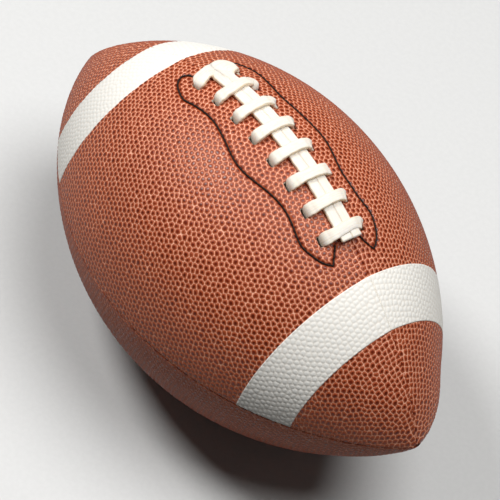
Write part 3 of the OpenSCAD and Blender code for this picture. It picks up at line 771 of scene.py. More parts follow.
def arch_fold(place, arch):
    """Depth of the fold inside the left arm of the arch, at places on the lace seen from above."""
    local = off_lacing(place[..., 0], place[..., 1])
    u = local[..., 0] + ROW_HALF
    v = local[..., 1]
    fold = np.exp(-(((v + FOLD_OFF - FOLD_LEAN * u) / FOLD_REACH) ** 2)) * step_up(-5.2, -3.8, u)
    fold = fold * step_up(1.4, 0.4, u) * step_up(0.5, 1.0, arch) * step_up(2.0, 1.0, v)
    return FOLD_DEPTH * fold


def lace_piece():
    """The whole lace as a piece, and the length of its middle line.

    A rounded rectangle with a low crown and two faint lines is carried along the lace's line. Its
    width and thickness swell a little on the way, as soft vinyl does.
    """
    points, halves, arch, along = lace_line()
    across = unit(halves)
    up = unit(np.cross(line_ways(points), across))
    wide = np.linalg.norm(halves, axis=1)
    wide = wide * (1 + 0.018 * np.sin(along * 0.9) + 0.012 * np.sin(along * 2.3 + 1))
    thick = LACE_T / 2 * (1 + 0.04 * np.sin(along * 0.7 + 2))
    ends = np.minimum(along, along[-1] - along)
    trim = np.sqrt(np.clip(1 - (1 - np.clip(ends / LACE_END, 0, 1)) ** 2, 0.05, 1))
    wide = (wide * (0.85 + 0.15 * trim))[:, None]
    thick = (thick * trim)[:, None]
    ring = lace_ring()
    r = np.minimum(LACE_CORNER, 0.95 * thick)
    x = (wide - r) * ring[:, 0] + r * ring[:, 2]
    y = (thick - r) * ring[:, 1] + r * ring[:, 3]
    share = x / wide
    lines = LACE_LINES * (1 + np.cos(5.2 * np.pi * share)) * (np.abs(share) < 0.8)
    crown = LACE_CROWN * (1 - share**2) - lines
    y = y + np.sign(ring[:, 1]) * crown * trim[:, None]
    place = points[:, None, :] + x[..., None] * across[:, None, :]
    y = y - np.where(ring[:, 1] > 0, arch_fold(place, arch), 0)
    values = {"along": np.repeat(along[:, None] * MM, len(ring), 1), "across": share}
    piece = tube("lace_vinyl", points, across, up, np.stack([x, y], axis=-1), values)
    return piece, np.linalg.norm(np.diff(points, axis=0), axis=1).sum()


# Threads

# Thread of a facing: radius, length of a twist, stitch, dip at a hole, and height between the holes
FACING_THREAD_R = 0.38
FACING_PLY = 2.0
FACING_STITCH = 3.0
FACING_DIP = 0.5
FACING_DIP_SHARE = 0.13
FACING_REST = {-1: -0.02, 1: -0.24}
# Thread of a seam: radius, length of a twist, and half a stitch across the seam
SEAM_THREAD_R = 0.33
SEAM_PLY = 1.8
SEAM_STITCH_HALF = 1.7


def thread_tube(name, line, r, ply, spacing, sides):
    """A twisted thread: a round ring whose radius rises and falls with the twist of its plies."""
    fine, along = even_line(line, spacing)
    ways = line_ways(fine)
    up = unit(np.array([0.0, 0.0, 1.0]) - ways * ways[:, 2:3])
    across = np.cross(ways, up)
    a = 2 * np.pi * np.arange(sides) / sides
    phase = 2 * np.pi * along / ply
    twist = np.cos(2 * (a[None, :] - phase[:, None]))
    size = r * (1 + 0.18 * twist)
    ring = np.stack([size * np.cos(a), size * np.sin(a)], axis=-1)
    return tube(name, fine, across, up, ring, {"twist": 0.5 + 0.5 * twist})


def facing_thread_line(side):
    """Line of a facing's thread: along the stitched outline, dipping at each stitch hole.

    The right one is pulled a little deeper into its groove.
    """
    plan, along = even_line(facing_outline(side), 0.25)
    stitch = along[-1] / np.floor(along[-1] / FACING_STITCH)
    share = (along / stitch) % 1.0
    dip = FACING_DIP * np.exp(-((np.minimum(share, 1 - share) / FACING_DIP_SHARE) ** 2))
    return on_lacing(np.concatenate([plan, (FACING_REST[side] - dip)[:, None]], axis=1))


def seam_thread_line(angle, first, last):
    """Line of a seam's thread: straight stitches through both turned-in edges, side to side."""
    count = int((last - first) // SEAM_PITCH)
    x = ARC_R * np.sin(np.linspace(first, last, count + 1) / ARC_R)
    own = own_radius(x) - SEAM_THREAD_DEPTH
    r = np.repeat(np.sqrt(own**2 - SIDE**2) - SIDE, 2)
    way = np.where(np.arange(count + 1) % 2 == 0, 1.0, -1.0) * SEAM_STITCH_HALF
    y = np.stack([way, -way], axis=1).ravel()
    out, girth = panel_axes(angle)
    line = r[:, None] * out - y[:, None] * girth
    line[:, 0] += np.repeat(x, 2)
    line[:, 2] += AXIS_Z
    return swell(line)


# Finishes


def new_group(name, inputs, outputs):
    """Empty shader node group with named sockets, and its two ends.

    An input is given by its name, socket type and default value, an output by its name and type.
    """
    tree = bpy.data.node_groups.new(name, "ShaderNodeTree")
    for key, kind, default in inputs:
        socket = tree.interface.new_socket(key, in_out="INPUT", socket_type=kind)
        socket.default_value = default
    for key, kind in outputs:
        tree.interface.new_socket(key, in_out="OUTPUT", socket_type=kind)
    entry = tree.nodes.new("NodeGroupInput")
    leave = tree.nodes.new("NodeGroupOutput")
    return tree, entry.outputs, leave.inputs


def add_node(tree, kind, values=None, links=None, **settings):
    """One node with its settings, plain values and links from other sockets."""
    node = tree.nodes.new(kind)
    for key, value in settings.items():
        setattr(node, key, value)
    for key, value in (values or {}).items():
        node.inputs[key].default_value = value
    for key, socket in (links or {}).items():
        tree.links.new(socket, node.inputs[key])
    return node


def mix_colour(tree, share, a, b, blend="MIX"):
    """Mix of two colours by a share; each is a socket or a plain value."""
    node = tree.nodes.new("ShaderNodeMix")
    node.data_type = "RGBA"
    node.blend_type = blend
    node.clamp_result = False
    for index, value in ((0, share), (6, a), (7, b)):
        if isinstance(value, bpy.types.NodeSocket):
            tree.links.new(value, node.inputs[index])
        else:
            node.inputs[index].default_value = value
    return node.outputs[2]


def maths(tree, operation, a, b=0.0, c=None, clamp=False):
    """One maths node; each value is a socket or a plain number."""
    node = tree.nodes.new("ShaderNodeMath")
    node.operation = operation
    node.use_clamp = clamp
    for index, value in enumerate((a, b) if c is None else (a, b, c)):
        if isinstance(value, bpy.types.NodeSocket):
            tree.links.new(value, node.inputs[index])
        else:
            node.inputs[index].default_value = value
    return node.outputs[0]


def ramp(tree, value, low, high, to_low=0.0, to_high=1.0):
    """Smooth rise of a value between two limits."""
    node = tree.nodes.new("ShaderNodeMapRange")
    node.interpolation_type = "SMOOTHSTEP"
    tree.links.new(value, node.inputs["Value"])
    for key, number in (("From Min", low), ("From Max", high), ("To Min", to_low), ("To Max", to_high)):
        node.inputs[key].default_value = number
    return node.outputs["Result"]


def object_noise(tree, scale, detail=3.0, rough=0.55):
    """Noise on the object's own coordinates, its scale in waves to the metre."""
    place = tree.nodes.new("ShaderNodeTexCoord").outputs["Object"]
    values = {"Scale": scale, "Detail": detail, "Roughness": rough}
    return add_node(tree, "ShaderNodeTexNoise", values, {"Vector": place}).outputs["Fac"]


def attribute(tree, name):
    """Value stored with the piece's points."""
    node = add_node(tree, "ShaderNodeAttribute", attribute_name=name, attribute_type="GEOMETRY")
    return node.outputs["Fac"]


def grey(tree, value):
    """Colour whose three parts are one value."""
    node = add_node(tree, "ShaderNodeCombineColor", links=dict.fromkeys(("Red", "Green", "Blue"), value))
    return node.outputs["Color"]


def centred(tree, value):
    """A value from 0 to 1, moved to lie evenly about 0."""
    return maths(tree, "SUBTRACT", value, 0.5)


def tinted(colour, *shares):
    """Opaque colour from another's red, green and blue, each times its own share."""
    return tuple(part * share for part, share in zip(colour, shares)) + (1.0,)


def pebble_tones():
    """Group: three tones of a pebbled skin, its pale lines, slopes and dark tops.

    Each pebble has a tone of its own, and wide clouds lie over all of them.
    """
    tree, given, out = new_group(
        "Pebble Tones",
        [
            ("Dome", "NodeSocketColor", (0.1, 0.03, 0.02, 1)),
            ("Slope", "NodeSocketColor", (0.3, 0.09, 0.05, 1)),
            ("Line", "NodeSocketColor", (0.6, 0.25, 0.17, 1)),
            ("Spread", "NodeSocketFloat", 0.3),
            ("Clouds", "NodeSocketFloat", 0.1),
        ],
        [("Colour", "NodeSocketColor"), ("Valley Mask", "NodeSocketFloat")],
    )
    mottle = centred(tree, object_noise(tree, 2600.0, 2.0))
    inside = maths(tree, "MULTIPLY_ADD", mottle, 0.07, attribute(tree, "inside"))
    slope = ramp(tree, inside, 0.19, 0.31, 1.0, 0.0)
    line = ramp(tree, inside, 0.02, 0.09, 1.0, 0.0)
    stray = centred(tree, attribute(tree, "tone"))
    lift = maths(tree, "MULTIPLY_ADD", stray, given["Spread"], 1.0)
    dome = mix_colour(tree, 1.0, given["Dome"], grey(tree, lift), "MULTIPLY")
    tones = mix_colour(tree, line, mix_colour(tree, slope, dome, given["Slope"]), given["Line"])
    cloud = centred(tree, object_noise(tree, 28.0, 4.0))
    shade = maths(tree, "MULTIPLY_ADD", cloud, given["Clouds"], 1.0)
    tree.links.new(mix_colour(tree, 1.0, tones, grey(tree, shade), "MULTIPLY"), out["Colour"])
    tree.links.new(slope, out["Valley Mask"])
    return tree


def fine_grain():
    """Group: fine grain of leather, rubber or vinyl, as a height and a value."""
    tree, given, out = new_group(
        "Fine Grain",
        [("Scale", "NodeSocketFloat", 3000.0), ("Detail", "NodeSocketFloat", 3.0)],
        [("Height", "NodeSocketFloat"), ("Value", "NodeSocketFloat")],
    )
    place = tree.nodes.new("ShaderNodeTexCoord").outputs["Object"]
    links = {"Vector": place, "Scale": given["Scale"]}
    cells = add_node(tree, "ShaderNodeTexVoronoi", {}, links)
    links["Detail"] = given["Detail"]
    noise = add_node(tree, "ShaderNodeTexNoise", {"Roughness": 0.6}, links)
    height = maths(tree, "MULTIPLY_ADD", cells.outputs["Distance"], -0.4, noise.outputs["Fac"])
    tree.links.new(height, out["Height"])
    tree.links.new(noise.outputs["Fac"], out["Value"])
    return tree


def woven_cloth():
    """Group: a plain weave, two rows of waves that pass over and under each other."""
    tree, given, out = new_group(
        "Woven Cloth",
        [("Threads", "NodeSocketFloat", 1400.0)],
        [("Height", "NodeSocketFloat"), ("Gap", "NodeSocketFloat")],
    )
    place = tree.nodes.new("ShaderNodeTexCoord").outputs["Object"]
    parts = add_node(tree, "ShaderNodeSeparateXYZ", links={"Vector": place}).outputs
    a = maths(tree, "SINE", maths(tree, "MULTIPLY", parts["X"], given["Threads"]))
    turned = maths(tree, "ADD", parts["Y"], parts["Z"])
    b = maths(tree, "SINE", maths(tree, "MULTIPLY", turned, given["Threads"]))
    height = maths(tree, "MULTIPLY", a, b)
    tree.links.new(height, out["Height"])
    # where the gaps between the threads lie, for their painted shade
    tree.links.new(ramp(tree, maths(tree, "ABSOLUTE", height), 0.0, 0.25, 1.0, 0.0), out["Gap"])
    return tree


def thread_twist():
    """Group: plies of a twisted thread and the loose fibres on them, with painted highlights where they
    stand highest.
    """
    tree, given, out = new_group(
        "Thread Twist",
        [
            ("Dark", "NodeSocketColor", (0.01, 0.01, 0.01, 1)),
            ("Light", "NodeSocketColor", (0.05, 0.04, 0.03, 1)),
        ],
        [("Colour", "NodeSocketColor"), ("Height", "NodeSocketFloat")],
    )
    twist = attribute(tree, "twist")
    fibre = object_noise(tree, 5200.0, 4.0, 0.7)
    height = maths(tree, "MULTIPLY_ADD", fibre, 0.5, twist)
    # painted highlight: where the plies and fibres stand higher, the thread takes the lighter colour
    share = ramp(tree, height, 0.35, 1.25)
    tree.links.new(mix_colour(tree, share, given["Dark"], given["Light"]), out["Colour"])
    tree.links.new(height, out["Height"])
    return tree


def use_group(tree, name, values):
    """One use of a shared group with its own values; the group is built at its first use."""
    makers = {
        "Pebble Tones": pebble_tones,
        "Fine Grain": fine_grain,
        "Woven Cloth": woven_cloth,
        "Thread Twist": thread_twist,
    }
    shared = bpy.data.node_groups.get(name) or makers[name]()
    return add_node(tree, "ShaderNodeGroup", values, node_tree=shared).outputs


def new_finish(name, **sockets):
    """Material whose tree holds its shader alone, with the shader's plain values set."""
    material = bpy.data.materials.new(name)
    material.use_nodes = True
    tree = material.node_tree
    tree.nodes.clear()
    shader = tree.nodes.new("ShaderNodeBsdfPrincipled")
    for key, value in sockets.items():
        shader.inputs[key.replace("_", " ")].default_value = value
    leave = tree.nodes.new("ShaderNodeOutputMaterial")
    tree.links.new(shader.outputs["BSDF"], leave.inputs["Surface"])
    return material, tree, shader.inputs


def bump(tree, height, strength, distance, shader):
    """Bump from a height, its distance in metres."""
    values = {"Strength": strength, "Distance": distance}
    node = add_node(tree, "ShaderNodeBump", values, {"Height": height})
    tree.links.new(node.outputs["Normal"], shader["Normal"])


def skin_finish(name, dome, slope, line, spread, clouds, rough_dome, rough_valley, painted_recess_shade):
    """Pebbled skin: three tones, glossy tops, dull valleys, painted shade in the seams and holes, pale
    cloth at holes' rims.
    """
    material, tree, shader = new_finish(name, Specular_IOR_Level=0.42)
    values = {"Dome": dome, "Slope": slope, "Line": line, "Spread": spread, "Clouds": clouds}
    tones = use_group(tree, "Pebble Tones", values)
    cut = attribute(tree, "cut")
    hole = attribute(tree, "hole")
    grain = use_group(tree, "Fine Grain", {"Scale": 3400.0, "Detail": 4.0})
    worn = maths(tree, "MULTIPLY", ramp(tree, object_noise(tree, 900.0, 5.0), 0.56, 0.75), 0.16)
    colour = mix_colour(tree, worn, tones["Colour"], slope)
    # painted shade, darkest where the skin goes deepest into a seam or a right-hand slot
    colour = mix_colour(tree, ramp(tree, cut, 0.0, 0.6), colour, painted_recess_shade)
    rim = maths(tree, "MULTIPLY", ramp(tree, hole, 0.25, 0.5), ramp(tree, hole, 0.72, 0.95, 1.0, 0.0))
    colour = mix_colour(tree, rim, colour, (0.55, 0.5, 0.42, 1))
    # painted shade: the bottom of each hole near black
    colour = mix_colour(tree, ramp(tree, hole, 0.75, 0.98), colour, (0.012, 0.008, 0.006, 1))
    tree.links.new(colour, shader["Base Color"])
    rough = ramp(tree, tones["Valley Mask"], 0.0, 1.0, rough_dome, rough_valley)
    rough = maths(tree, "MULTIPLY_ADD", centred(tree, grain["Value"]), 0.25, rough)
    tree.links.new(rough, shader["Roughness"])
    bump(tree, grain["Height"], 0.35, 0.00005, shader)
    return material


def lace_finish(colour, shade):
    """Soft vinyl lace: faint ridges along it, a fine grain, and warmer, darker edges, which are painted
    shade and painted warm light thrown back by the leather.
    """
    material, tree, shader = new_finish(
        "lace vinyl",
        Subsurface_Weight=0.4,
        Subsurface_Scale=0.004,
        Subsurface_Radius=(0.9, 0.75, 0.6),
        Specular_IOR_Level=0.35,
    )
    across = attribute(tree, "across")
    along = attribute(tree, "along")
    ridge = maths(tree, "SINE", maths(tree, "MULTIPLY", across, 13.0))
    grain = use_group(tree, "Fine Grain", {"Scale": 2200.0, "Detail": 5.0})
    places = {"X": maths(tree, "MULTIPLY", across, 6.0), "Y": maths(tree, "MULTIPLY", along, 90.0)}
    place = add_node(tree, "ShaderNodeCombineXYZ", links=places).outputs["Vector"]
    noise = add_node(tree, "ShaderNodeTexNoise", {"Scale": 1.0, "Detail": 4.0}, {"Vector": place})
    streak = noise.outputs["Fac"]
    height = maths(tree, "MULTIPLY_ADD", ridge, 0.25, grain["Height"])
    height = maths(tree, "MULTIPLY_ADD", streak, 0.8, height)
    # painted shade: the sides of the lace darker and warmer, as shade and warm light from the leather; the
    # streaks take the same colour as the vinyl's own tone
    edge = maths(tree, "MULTIPLY", ramp(tree, maths(tree, "ABSOLUTE", across), 0.72, 1.0), 0.45)
    share = maths(tree, "MULTIPLY_ADD", ramp(tree, streak, 0.45, 0.75), 0.3, edge, clamp=True)
    tree.links.new(mix_colour(tree, share, colour, shade), shader["Base Color"])
    tree.links.new(ramp(tree, grain["Value"], 0.3, 0.7, 0.42, 0.56), shader["Roughness"])
    bump(tree, height, 0.4, 0.00009, shader)
    return material


def thread_finish(name, dark, light):
    """Twisted sewing thread, with painted highlights on the crowns of its plies."""
    material, tree, shader = new_finish(
        name,
        Sheen_Weight=0.05,
        Sheen_Roughness=0.4,
        Specular_IOR_Level=0.25,
    )
    twist = use_group(tree, "Thread Twist", {"Dark": dark, "Light": light})
    tree.links.new(twist["Colour"], shader["Base Color"])
    tree.links.new(ramp(tree, twist["Height"], 0.3, 1.3, 0.75, 0.5), shader["Roughness"])
    bump(tree, twist["Height"], 0.5, 0.00008, shader)
    return material


def cloth_finish(name, colour, gap_shade_and_stain, threads):
    """Plain woven cloth with painted shade in the gaps between its threads and faint stains."""
    material, tree, shader = new_finish(name, Sheen_Weight=0.2)
    weave = use_group(tree, "Woven Cloth", {"Threads": threads})
    stain = maths(tree, "MULTIPLY", ramp(tree, object_noise(tree, 60.0, 5.0), 0.45, 0.75), 0.35)
    # painted shade in the gaps between the threads; the same colour darkens the stains
    base = mix_colour(tree, weave["Gap"], colour, gap_shade_and_stain)
    tree.links.new(mix_colour(tree, stain, base, gap_shade_and_stain), shader["Base Color"])
    tree.links.new(ramp(tree, weave["Height"], -1.0, 1.0, 0.9, 0.78), shader["Roughness"])
    bump(tree, weave["Height"], 0.6, 0.00012, shader)
    return material


def moulded_finish(name, dark, light, rough, scale):
    """Rubber or split leather: mottled tone and a fine grain, duller where it is lighter."""
    material, tree, shader = new_finish(name)
    grain = use_group(tree, "Fine Grain", {"Scale": scale, "Detail": 4.0})
    bloom = ramp(tree, object_noise(tree, 140.0, 5.0), 0.4, 0.7)
    bloom = maths(tree, "MULTIPLY", bloom, 0.5)
    share = maths(tree, "MULTIPLY_ADD", grain["Value"], 0.3, bloom, clamp=True)
    tree.links.new(mix_colour(tree, share, dark, light), shader["Base Color"])
    tree.links.new(ramp(tree, share, 0.0, 1.0, rough - 0.08, rough + 0.12), shader["Roughness"])
    bump(tree, grain["Height"], 0.5, 0.00008, shader)
    return material


def dress(piece, material):
    """Give a piece its finish and its body."""
    piece.data.materials.clear()
    piece.data.materials.append(material)
    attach(piece, "root")
    return piece


def redress(nodes, material):
    """Give CAD nodes that stay a finish of their own."""
    for name in nodes:
        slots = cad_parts[name].data.materials
        if not slots:
            slots.append(material)
        for index in range(len(slots)):
            slots[index] = material


# What a user would change


class FootballSizes(bpy.types.PropertyGroup):
    """Sizes of the looks."""

    pebble_pitch: bpy.props.FloatProperty(
        name="Pebble Pitch", description="Distance between two pebbles",
        default=0.00255, unit="LENGTH", precision=5,
    )
    pebble_height: bpy.props.FloatProperty(
        name="Pebble Height", description="Height of a pebble over its valley",
        default=0.00027, unit="LENGTH", precision=5,
    )
    seam_roll: bpy.props.FloatProperty(
        name="Seam Roll", description="Width of a panel's rolled edge",
        default=0.0009, unit="LENGTH", precision=5,
    )
    seam_depth: bpy.props.FloatProperty(
        name="Seam Depth", description="Depth of a panel's rolled edge",
        default=0.00075, unit="LENGTH", precision=5,
    )
    upper_spacing: bpy.props.FloatProperty(
        name="Upper Spacing", description="Mesh spacing of the upper panels",
        default=0.00036, unit="LENGTH", precision=5,
    )
    lower_spacing: bpy.props.FloatProperty(
        name="Lower Spacing", description="Mesh spacing of the lower panels",
        default=0.0006, unit="LENGTH", precision=5,
    )


class FootballColours(bpy.types.PropertyGroup):
    """Colours of the looks."""

    dome: bpy.props.FloatVectorProperty(
        name="Pebble Tops", description="Colour of the tops of the pebbles",
        default=(0.14, 0.014, 0.003, 1.0), subtype="COLOR", size=4,
    )
    slope: bpy.props.FloatVectorProperty(
        name="Pebble Slopes", description="Colour of the slopes of the pebbles",
        default=(0.385, 0.07, 0.017, 1.0), subtype="COLOR", size=4,
    )
    line: bpy.props.FloatVectorProperty(
        name="Pebble Lines", description="Colour of the thin lines between the pebbles",
        default=(0.92, 0.44, 0.29, 1.0), subtype="COLOR", size=4,
    )
    paint: bpy.props.FloatVectorProperty(
        name="Stripe Paint", description="Colour of the stripes",
        default=(0.95, 0.93, 0.88, 1.0), subtype="COLOR", size=4,
    )
    lace: bpy.props.FloatVectorProperty(
        name="Lace", description="Colour of the lace",
        default=(0.93, 0.84, 0.73, 1.0), subtype="COLOR", size=4,
    )
    thread: bpy.props.FloatVectorProperty(
        name="Facing Thread", description="Colour of the facing's thread",
        default=(0.008, 0.005, 0.004, 1.0), subtype="COLOR", size=4,
    )


class FootballStage(bpy.types.PropertyGroup):
    """Floor and light."""

    floor: bpy.props.FloatVectorProperty(
        name="Floor", description="Colour of the floor",
        default=(0.72, 0.72, 0.71, 1.0), subtype="COLOR", size=4,
    )
    key_power: bpy.props.FloatProperty(
        name="Key Light", description="Power of the large soft light overhead",
        default=19.0, unit="POWER",
    )
    fill_power: bpy.props.FloatProperty(
        name="Fill Light", description="Power of the soft light on the left",
        default=16.5, unit="POWER",
    )
    world: bpy.props.FloatProperty(
        name="Room Light", description="Strength of the even light from all round",
        default=0.04, min=0.0,
    )


# Operators

# Columns over the middles and tips of the upper panels, over a lower panel and over a stripe
MIDDLE_COLUMNS = 320
TIP_COLUMNS = 200
LOWER_COLUMNS = 164
STRIPE_COLUMNS = 260
# How high a stripe's paint lies, how far its skirts go down, and its share of the pebbles' height
STRIPE_LIFT = 0.09
STRIPE_SKIRT_SHARE = 0.25
STRIPE_CALM = 0.6
UPPER_PANELS = ("panel_lace_left", "panel_lace_right")
LOWER_PANELS = ("panel_under_left", "panel_under_right")


class FOOTBALL_OT_upper_cover(bpy.types.Operator):
    """Pebbled skins of the two upper panels, each as two halves of the middle and two tips"""

    bl_idname = "football.upper_cover"
    bl_label = "Upper Cover"

    def execute(self, context):
        sizes = context.scene.football_sizes
        colours = context.scene.football_colours
        material = skin_finish(
            "pebbled cover",
            *(tuple(colour) for colour in (colours.dome, colours.slope, colours.line)),
            spread=0.5,
            clouds=0.16,
            rough_dome=0.3,
            rough_valley=0.6,
            # near-black painted shade for the skin deep in the seams and slots
            painted_recess_shade=(0.07, 0.02, 0.01, 1),
        )
        spacing = sizes.upper_spacing / MM
        meet = arc_at(HALF_LEN - STRIPE_FROM_TIP - STRIPE_W / 2)
        tip = arc_at(BALL_LENGTH / 2)
        for node in UPPER_PANELS:
            for start, end, skirt, columns, word in (
                (-meet, 0.0, (), MIDDLE_COLUMNS, "middle_far"),
                (0.0, meet, (), MIDDLE_COLUMNS, "middle_near"),
                (-meet, -tip, TIP_SKIRT, TIP_COLUMNS, "far"),
                (meet, tip, TIP_SKIRT, TIP_COLUMNS, "near"),
            ):
                rows = even_rows(start, end, spacing)
                name = f"cover_{node[6:]}_{word}"
                piece = cover_piece(name, node, rows, columns, sizes, after=skirt)
                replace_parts(dress(piece, material), node)
        return {"FINISHED"}


class FOOTBALL_OT_lower_cover(bpy.types.Operator):
    """Pebbled skins of the two lower panels"""

    bl_idname = "football.lower_cover"
    bl_label = "Lower Cover"

    def execute(self, context):
        sizes = context.scene.football_sizes
        material = bpy.data.materials["pebbled cover"]
        tip = arc_at(BALL_LENGTH / 2)
        rows = even_rows(-tip, tip, sizes.lower_spacing / MM)
        skirts = {"before": TIP_SKIRT[::-1], "after": TIP_SKIRT}
        for node in LOWER_PANELS:
            piece = cover_piece(f"cover_{node[6:]}", node, rows, LOWER_COLUMNS, sizes, **skirts)
            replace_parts(dress(piece, material), node)
        return {"FINISHED"}


class FOOTBALL_OT_stripes(bpy.types.Operator):
    """Painted stripes that follow the pebbles of the upper panels"""

    bl_idname = "football.stripes"
    bl_label = "Stripes"

    def execute(self, context):
        sizes = context.scene.football_sizes
        paint = tuple(context.scene.football_colours.paint)
        material = skin_finish(
            "stripe paint",
            paint,
            tinted(paint, 0.99, 0.98, 0.96),
            tinted(paint, 0.94, 0.9, 0.86),
            spread=0.04,
            clouds=0.04,
            rough_dome=0.45,
            rough_valley=0.6,
            # brown painted shade for the paint deep in the seams
            painted_recess_shade=(0.3, 0.16, 0.11, 1),
        )
        outer = arc_at(HALF_LEN - STRIPE_FROM_TIP)
        inner = arc_at(HALF_LEN - STRIPE_FROM_TIP - STRIPE_W)
        rows = even_rows(inner, outer, sizes.upper_spacing / MM)
        options = {
            "before": STRIPE_SKIRT,
            "after": STRIPE_SKIRT,
            "lift": STRIPE_LIFT,
            "skirt": STRIPE_SKIRT_SHARE,
            "calm_share": STRIPE_CALM,
        }
        for node in UPPER_PANELS:
            side = node.split("_")[-1]
            for way, word in ((-1, "far"), (1, "near")):
                name = f"paint_{side}_{word}"
                piece = cover_piece(name, node, way * rows, STRIPE_COLUMNS, sizes, **options)
                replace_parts(dress(piece, material), f"stripe_{side}_{word}")
        return {"FINISHED"}


class FOOTBALL_OT_lace(bpy.types.Operator):
    """The flat vinyl lace on its whole route"""

    bl_idname = "football.lace"
    bl_label = "Lace"

    def execute(self, context):
        colour = tuple(context.scene.football_colours.lace)
        # the second colour is painted shade for the lace's sides, and also the tone of its streaks
        material = lace_finish(colour, tinted(colour, 0.8, 0.7, 0.52))
        piece, length = lace_piece()
        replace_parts(dress(piece, material), "lace")
        print(f"lace length {length:.0f} mm")
        return {"FINISHED"}


class FOOTBALL_OT_stitching(bpy.types.Operator):
    """Black threads of the lace facings and brown threads of the four seams"""

    bl_idname = "football.stitching"
    bl_label = "Stitching"

    def execute(self, context):
        dark = tuple(context.scene.football_colours.thread)
        # the lighter colour is the painted highlight on the thread's plies
        black = thread_finish("black facing thread", dark, tinted(dark, 2.6, 2.6, 2.6))
        for side, word in ((-1, "left"), (1, "right")):
            line = facing_thread_line(side)
            name = f"facing_thread_{word}"
            piece = thread_tube(name, line, FACING_THREAD_R, FACING_PLY, spacing=0.25, sides=10)
            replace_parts(dress(piece, black), f"facing_stitching_{word}")
        # the second brown is the painted highlight on the plies
        brown = thread_finish("waxed seam thread", (0.05, 0.018, 0.01, 1), (0.16, 0.07, 0.04, 1))
        last = arc_at(HALF_LEN - SEAM_END)
        first_top = arc_at(FACING_HALF + FACING_RIM + LACING_SKEW + LACING_X + SEAM_PITCH / 2)
        runs = {
            "seam_top_far": ("seam_thread_top", 0.0, -last, -first_top),
            "seam_top_near": ("seam_thread_top", 0.0, first_top, last),
            "seam_left": ("seam_thread_left", 90.0, -last, last),
            "seam_bottom": ("seam_thread_bottom", 180.0, -last, last),
            "seam_right": ("seam_thread_right", 270.0, -last, last),
        }
        for name, (node, angle, first, end) in runs.items():
            line = seam_thread_line(angle, first, end)
            piece = thread_tube(name, line, SEAM_THREAD_R, SEAM_PLY, spacing=0.4, sides=8)
            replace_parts(dress(piece, brown), node)
        return {"FINISHED"}


class FOOTBALL_OT_inner_pieces(bpy.types.Operator):
    """Finishes of the pieces inside the ball and of the valve"""

    bl_idname = "football.inner_pieces"
    bl_label = "Inner Pieces"

    def execute(self, context):
        # each cloth's second colour is the painted shade in its weave's gaps, also used for its stains
        for nodes, name, thread, gap, threads in (
            (
                ("lining_lace_left", "lining_lace_right", "lining_under_left", "lining_under_right"),
                "cotton lining", (0.5, 0.45, 0.35, 1), (0.24, 0.2, 0.14, 1), 5200.0,
            ),
            (("lace_guard",), "guard cloth", (0.42, 0.37, 0.28, 1), (0.2, 0.17, 0.12, 1), 3900.0),
        ):
            redress(nodes, cloth_finish(name, thread, gap, threads))
        for nodes, name, dark, light, rough, scale in (
            (
                ("lace_facing_left", "lace_facing_right"),
                "split leather facing", (0.09, 0.035, 0.022, 1), (0.2, 0.09, 0.06, 1), 0.75, 2400.0,
            ),
            (
                ("bladder",),
                "bladder rubber", (0.016, 0.016, 0.018, 1), (0.06, 0.06, 0.062, 1), 0.45, 1500.0,
            ),
            (
                ("valve", "valve_patch"),
                "valve rubber", (0.012, 0.012, 0.013, 1), (0.045, 0.043, 0.042, 1), 0.6, 3000.0,
            ),
        ):
            redress(nodes, moulded_finish(name, dark, light, rough, scale))
        return {"FINISHED"}


# Half the side of the floor, in millimetres
FLOOR_HALF = 3000.0
# The photo's view, found by fitting the ball's outline, stripes and lacing: the picture's right,
# down and depth as directions, the lens in millimetres, and the place over the ball's middle
VIEW_RIGHT = (0.5888971, 0.7799559, 0.2118229)
VIEW_DOWN = (0.7095646, -0.3734708, -0.5975263)
VIEW_AHEAD = (-0.3869345, 0.5021836, -0.7733650)
VIEW_LENS = 183.5
VIEW_SENSOR = 36.0
VIEW_PLACE = (449.81, -580.09, 891.86)


def stand(name, data, side, over, back, place):
    """Put a lamp or a camera in the scene, turned by its three directions, at a place in metres."""
    holder = bpy.data.objects.new(name, data)
    matrix = np.eye(4)
    matrix[:3] = np.stack([side, over, back, place], axis=1)
    holder.matrix_world = Matrix(matrix.tolist())
    bpy.context.scene.collection.objects.link(holder)
    return holder


